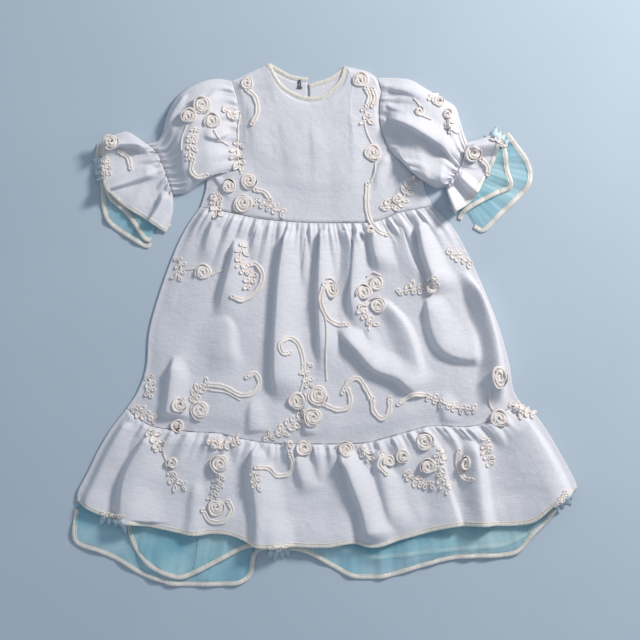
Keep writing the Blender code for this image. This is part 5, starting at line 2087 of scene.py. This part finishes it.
    def cord(self, points: Sequence[Point]) -> None:
        """Lay a double cord with curled ends.

        Args:
            points: Places along it.
        """
        line, length = self.even(points, 1.3, 8)
        share = np.linspace(0, 1, len(line))
        ends = np.sqrt(np.clip(np.minimum(share, 1 - share) * length / 3.0, 0.06, 1.0))
        wave = 1 + 0.12 * np.sin(share * length / 2.3)
        half_width, height = self.cord_size
        self.sweep(line, half_width * ends * wave, CORD_SECTION, height * ends)
        for tip, inner in ((line[0], line[3]), (line[-1], line[-4])):
            angle = math.atan2(*(tip - inner)[::-1])
            self.loop(tip, 3.8, 3.2, angle, 2.3)

    def stem(self, points: Sequence[Point]) -> None:
        """Lay a thin twisted stem.

        Args:
            points: Places along it.
        """
        line, length = self.even(points, 1.2, 6)
        share = np.linspace(0, 1, len(line))
        twist = 1 + 0.2 * np.sin(share * length * 2.1)
        half_width, height = self.stem_size
        self.sweep(line, half_width * twist, STEM_SECTION, np.full(len(line), height))

    def chain(self, points: Sequence[Point]) -> None:
        """Lay a stem with small ribbon loops on both sides, as a leaf spray.

        Args:
            points: Places along it.
        """
        line, _ = self.even(points, self.spacing, 2)
        random = np.random.default_rng(round(abs(points[0][0]) * 7 + abs(points[0][1])))
        directions = np.gradient(line, axis=0)
        for index, (place, direction) in enumerate(zip(line, directions)):
            heading = math.atan2(direction[1], direction[0])
            size = 0.95 + 0.4 * math.sin(math.pi * (index + 0.5) / len(line))
            for side in (-1, 1):
                angle = heading + side * random.uniform(0.45, 1.2)
                long = self.leaf[0] * size * random.uniform(0.7, 1.35)
                wide = self.leaf[1] * size * random.uniform(0.7, 1.2)
                centre = place + (long + 0.3) * np.array([math.cos(angle), math.sin(angle)])
                centre += random.uniform(-0.8, 0.8, 2)
                height = self.leaf[2] * random.uniform(0.8, 1.2)
                self.loop(centre, long, wide, angle, height)
        self.stem(points)


@dataclass
class Tuft:
    """A knot of ribbon loops with pointed organza tips.

    Attributes:
        node: The solid that it stands for.
        loop_length: Half length of a ribbon loop.
        tip_rows: Along an organza point, share of its length and half width for each unit of it.
    """

    node: str
    loop_length: float = 3.4
    tip_rows: tuple[Point, ...] = ((0.0, 0.2), (0.3, 0.32), (0.65, 0.18), (1.0, 0.01))

    def build(self, ground: Relief) -> list[Piece]:
        """Lay the loops and the tips, and return their pieces.

        Args:
            ground: What it lies on.

        Returns:
            The loops' piece and the points' piece.
        """
        x, y, reach, degrees = TUFTS[self.node]
        loops = Applique(self.node, ground)
        tips = Bundle()
        random = np.random.default_rng(round(abs(x) + reach))
        heading = math.radians(degrees)
        ahead = np.array([math.cos(heading), math.sin(heading)])
        aside = np.array([-ahead[1], ahead[0]])
        middle = np.array([x, y])
        for index in range(9):
            angle = heading + math.pi + random.uniform(-1.4, 1.4)
            long = self.loop_length * random.uniform(0.8, 1.25)
            centre = middle + (index - 4) * 0.16 * reach * aside - random.uniform(0, 4) * ahead
            loops.loop(centre, long, 0.62 * long, angle, 2.4)
        loops.rose(x, y, 4.2, 1.0, 0.0)
        for index in range(4):
            angle = heading + (index - 1.5) * 0.2 + random.uniform(-0.12, 0.12)
            root = middle + (index - 1.5) * 0.36 * reach * aside + 2.0 * ahead
            self.tip(tips, ground, root, angle, reach * random.uniform(0.6, 1.0))
        pieces = [loops.bundle.piece(f"{self.node}_loops", RIBBON_FINISH),
                  tips.piece(f"{self.node}_tips", VEIL_FINISH)]
        for piece in pieces:
            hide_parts(self.node)
        return pieces

    def tip(self, tips: Bundle, ground: Relief, root: Array, angle: float,
            long: float) -> None:
        """Lay one folded organza point: a thin kite with a raised middle.

        Args:
            tips: The points laid so far.
            ground: What it lies on.
            root: Where it is sewn.
            angle: Where it points, in radians.
            long: Its length.
        """
        ahead = np.array([math.cos(angle), math.sin(angle)])
        aside = np.array([-ahead[1], ahead[0]])
        upper, lower = [], []
        for share, width in self.tip_rows:
            for side in (-1, 0, 1):
                place = root + long * (share * ahead + side * width * aside)
                base = ground.height(*place[:, None])[0] + 0.5
                middle = 1.4 if side == 0 else 0.0
                upper.append((*place, base + middle + 0.3))
                lower.append((*place, base + middle))
        count = len(upper)
        faces: Faces = []
        for row in range(len(self.tip_rows) - 1):
            for column in range(2):
                a = 3 * row + column
                faces.append((a, a + 3, a + 4, a + 1))
                faces.append((count + a + 1, count + a + 4, count + a + 3, count + a))
        rim = [0, 3, 6, 9, 10, 11, 8, 5, 2, 1]
        for a, b in zip(rim, rim[1:] + rim[:1]):
            faces.append((b, a, count + a, count + b))
        vertices = np.array(upper + lower)
        tips.add(vertices, faces, MILLIMETRE * vertices[:, :2])


@dataclass(frozen=True)
class NeckHook:
    """The wire hook on the inner face of the left back.

    Attributes:
        path: Places along the bent wire.
        radius: Radius of the wire.
        eyes: Middle between its two sewing eyes.
        eye_step: How far each eye is from that middle.
        eye_radius: Radius of an eye.
        eye_wire: Radius of an eye's wire.
        eye_turn: How far round an eye's wire goes, in radians.
    """

    path: tuple[Triple, ...] = (
        (-36.0, 321.0, 0.5), (-36.0, 327.0, 0.5), (-34.6, 330.0, 0.6), (-33.0, 329.0, 0.9),
        (-32.8, 325.0, 1.1), (-33.2, 321.5, 0.9))
    radius: float = 0.62
    eyes: Triple = (-34.4, 320.0, 0.6)
    eye_step: float = 1.7
    eye_radius: float = 1.5
    eye_wire: float = 0.5
    eye_turn: float = 6.1

    def build(self, ground: Relief) -> Piece:
        """Bend the wire and lay it on the left back.

        Args:
            ground: What it lies on.

        Returns:
            The hook's piece.
        """
        knots = np.array(self.path)
        line = resample(np.column_stack([smooth_line(knots[:, :2], 60),
                                         np.interp(np.linspace(0, 1, 61),
                                                   np.linspace(0, 1, len(knots)),
                                                   knots[:, 2])]), 60)
        line[:, 2] += ground.height(*line[:, :2].T)
        turns = np.linspace(0, 2 * math.pi, 10, endpoint=False)
        section = [(-math.cos(a), math.sin(a)) for a in turns]
        thin = np.full(len(line), self.radius)
        bundle = Bundle()
        bundle.add(*swept(line, thin, section, thin, None))
        x, y, z = self.eyes
        around = np.linspace(0, self.eye_turn, 24)
        slim = np.full(len(around), self.eye_wire)
        for side in (-1, 1):
            middle = x + side * self.eye_step
            eye = np.column_stack([middle + self.eye_radius * np.cos(around),
                                   y + self.eye_radius * np.sin(around),
                                   np.full(len(around), z)])
            eye[:, 2] += ground.height(*eye[:, :2].T)
            bundle.add(*swept(eye, slim, section, slim, None))
        piece = bundle.piece("neck_hook_wire", STEEL_FINISH)
        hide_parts("neck_hook")
        return piece


@dataclass(frozen=True)
class Setting:
    """Camera, lights and surface of the picture, in metres.

    Attributes:
        view_centre: Place below the camera.
        camera_height: Height of the camera.
        lens: Its focal length in millimetres.
        floor_size: Width of the surface.
        floor_gap: How far the surface is below the cloth.
        light_place: Where the soft light is.
        light_size: Its width.
        light_power: Its power in watts.
        light_colour: Its colour.
        fill_colour: Colour of the light from all around.
        fill_strength: Strength of that light.
    """

    view_centre: Point = (-0.00675, 0.00675)
    camera_height: float = 2.2
    lens: float = 91.7
    floor_size: float = 6.0
    floor_gap: float = 0.0004
    light_place: Triple = (1.36, 1.25, 1.16)
    light_size: float = 0.4
    light_power: float = 40.0
    light_colour: Triple = (1.0, 0.975, 0.94)
    fill_colour: Triple = (0.72, 0.85, 1.0)
    fill_strength: float = 0.42

    def build(self) -> None:
        """Set the surface, the camera and the lights."""
        self.floor()
        self.camera()
        self.key_light()
        self.fill()

    def floor(self) -> None:
        """A wide pale surface just below the cloth."""
        bpy.ops.mesh.primitive_plane_add(size=self.floor_size,
                                         location=(0.0, 0.0, -self.floor_gap))
        surface = bpy.context.object
        surface.name = "pale_surface"
        surface.data.materials.append(BOARD_FINISH.material())

    def camera(self) -> None:
        """A camera straight above the gown."""
        data = bpy.data.cameras.new("overhead")
        data.lens = self.lens
        camera = bpy.data.objects.new("overhead", data)
        camera.location = (*self.view_centre, self.camera_height)
        bpy.context.scene.collection.objects.link(camera)
        bpy.context.scene.camera = camera
        bpy.context.scene.view_settings.view_transform = "Standard"

    def key_light(self) -> None:
        """A soft light from the upper right."""
        data = bpy.data.lights.new("key", "AREA")
        data.size = self.light_size
        data.energy = self.light_power
        data.color = self.light_colour
        light = bpy.data.objects.new("key", data)
        light.location = self.light_place
        light.rotation_euler = aimed(light.location)
        bpy.context.scene.collection.objects.link(light)

    def fill(self) -> None:
        """A pale blue light from all around."""
        world = bpy.data.worlds.new("studio")
        world.use_nodes = True
        background = world.node_tree.nodes["Background"]
        background.inputs["Color"].default_value = (*self.fill_colour, 1.0)
        background.inputs["Strength"].default_value = self.fill_strength
        bpy.context.scene.world = world


def aimed(location: Sequence[float]) -> Triple:
    """Turn of a light at a place so that it shines on the origin."""
    x, y, z = location
    return (math.atan2(math.hypot(x, y), z), 0.0, math.atan2(y, x) + 0.5 * math.pi)


@dataclass
class Gown:
    """The whole gown, laid from its lowest layer up."""

    relief: Relief = field(default_factory=Relief)

    def build(self) -> None:
        """Lay every layer, then call each sheet's declare step, which does nothing."""
        backs, under, skirt, bodice = BackLayers(), Underflounces(), Skirt(), Bodice()
        sleeves = [Sleeve(Side.LEFT, 31), Sleeve(Side.RIGHT, 41)]
        cuffs = [Cuff(Side.LEFT, 31), Cuff(Side.RIGHT, 41)]
        backs.build(self.relief)
        for part in (*sleeves, *cuffs):
            part.build_under(self.relief)
        under.build(self.relief)
        for cuff in cuffs:
            cuff.build_organza(self.relief)
        cover = self.relief.smoothed(5)
        skirt.build(self.relief, cover)
        bodice.build(self.relief, cover)
        for part in (*cuffs, *sleeves):
            part.build_upper(self.relief, cover)
        cloths = {cloth.node: cloth for part in (backs, under, skirt, bodice, *sleeves, *cuffs)
                  for cloth in part.sheets}
        ground = self.relief.smoothed(1)
        for panel in TRIMS:
            cloths[panel].companions.append(Applique(panel, ground).build())
        for node, host in (("hem_tuft_left", "flounce_front"),
                           ("hem_tuft_centre", "flounce_front"),
                           ("hem_tuft_right", "flounce_front"),
                           ("cuff_left_tuft", "cuff_left_upper"),
                           ("cuff_right_tuft", "cuff_right_upper")):
            cloths[host].companions.extend(Tuft(node).build(ground))
        cloths["bodice_back_left"].companions.append(NeckHook().build(ground))
        for cloth in cloths.values():
            cloth.declare()


def main() -> None:
    """Build the gown's pieces and report them."""
    logging.basicConfig(level=logging.INFO, format="%(message)s")
    Gown().build()
    Setting().build()


if __name__ == "__main__":
    main()
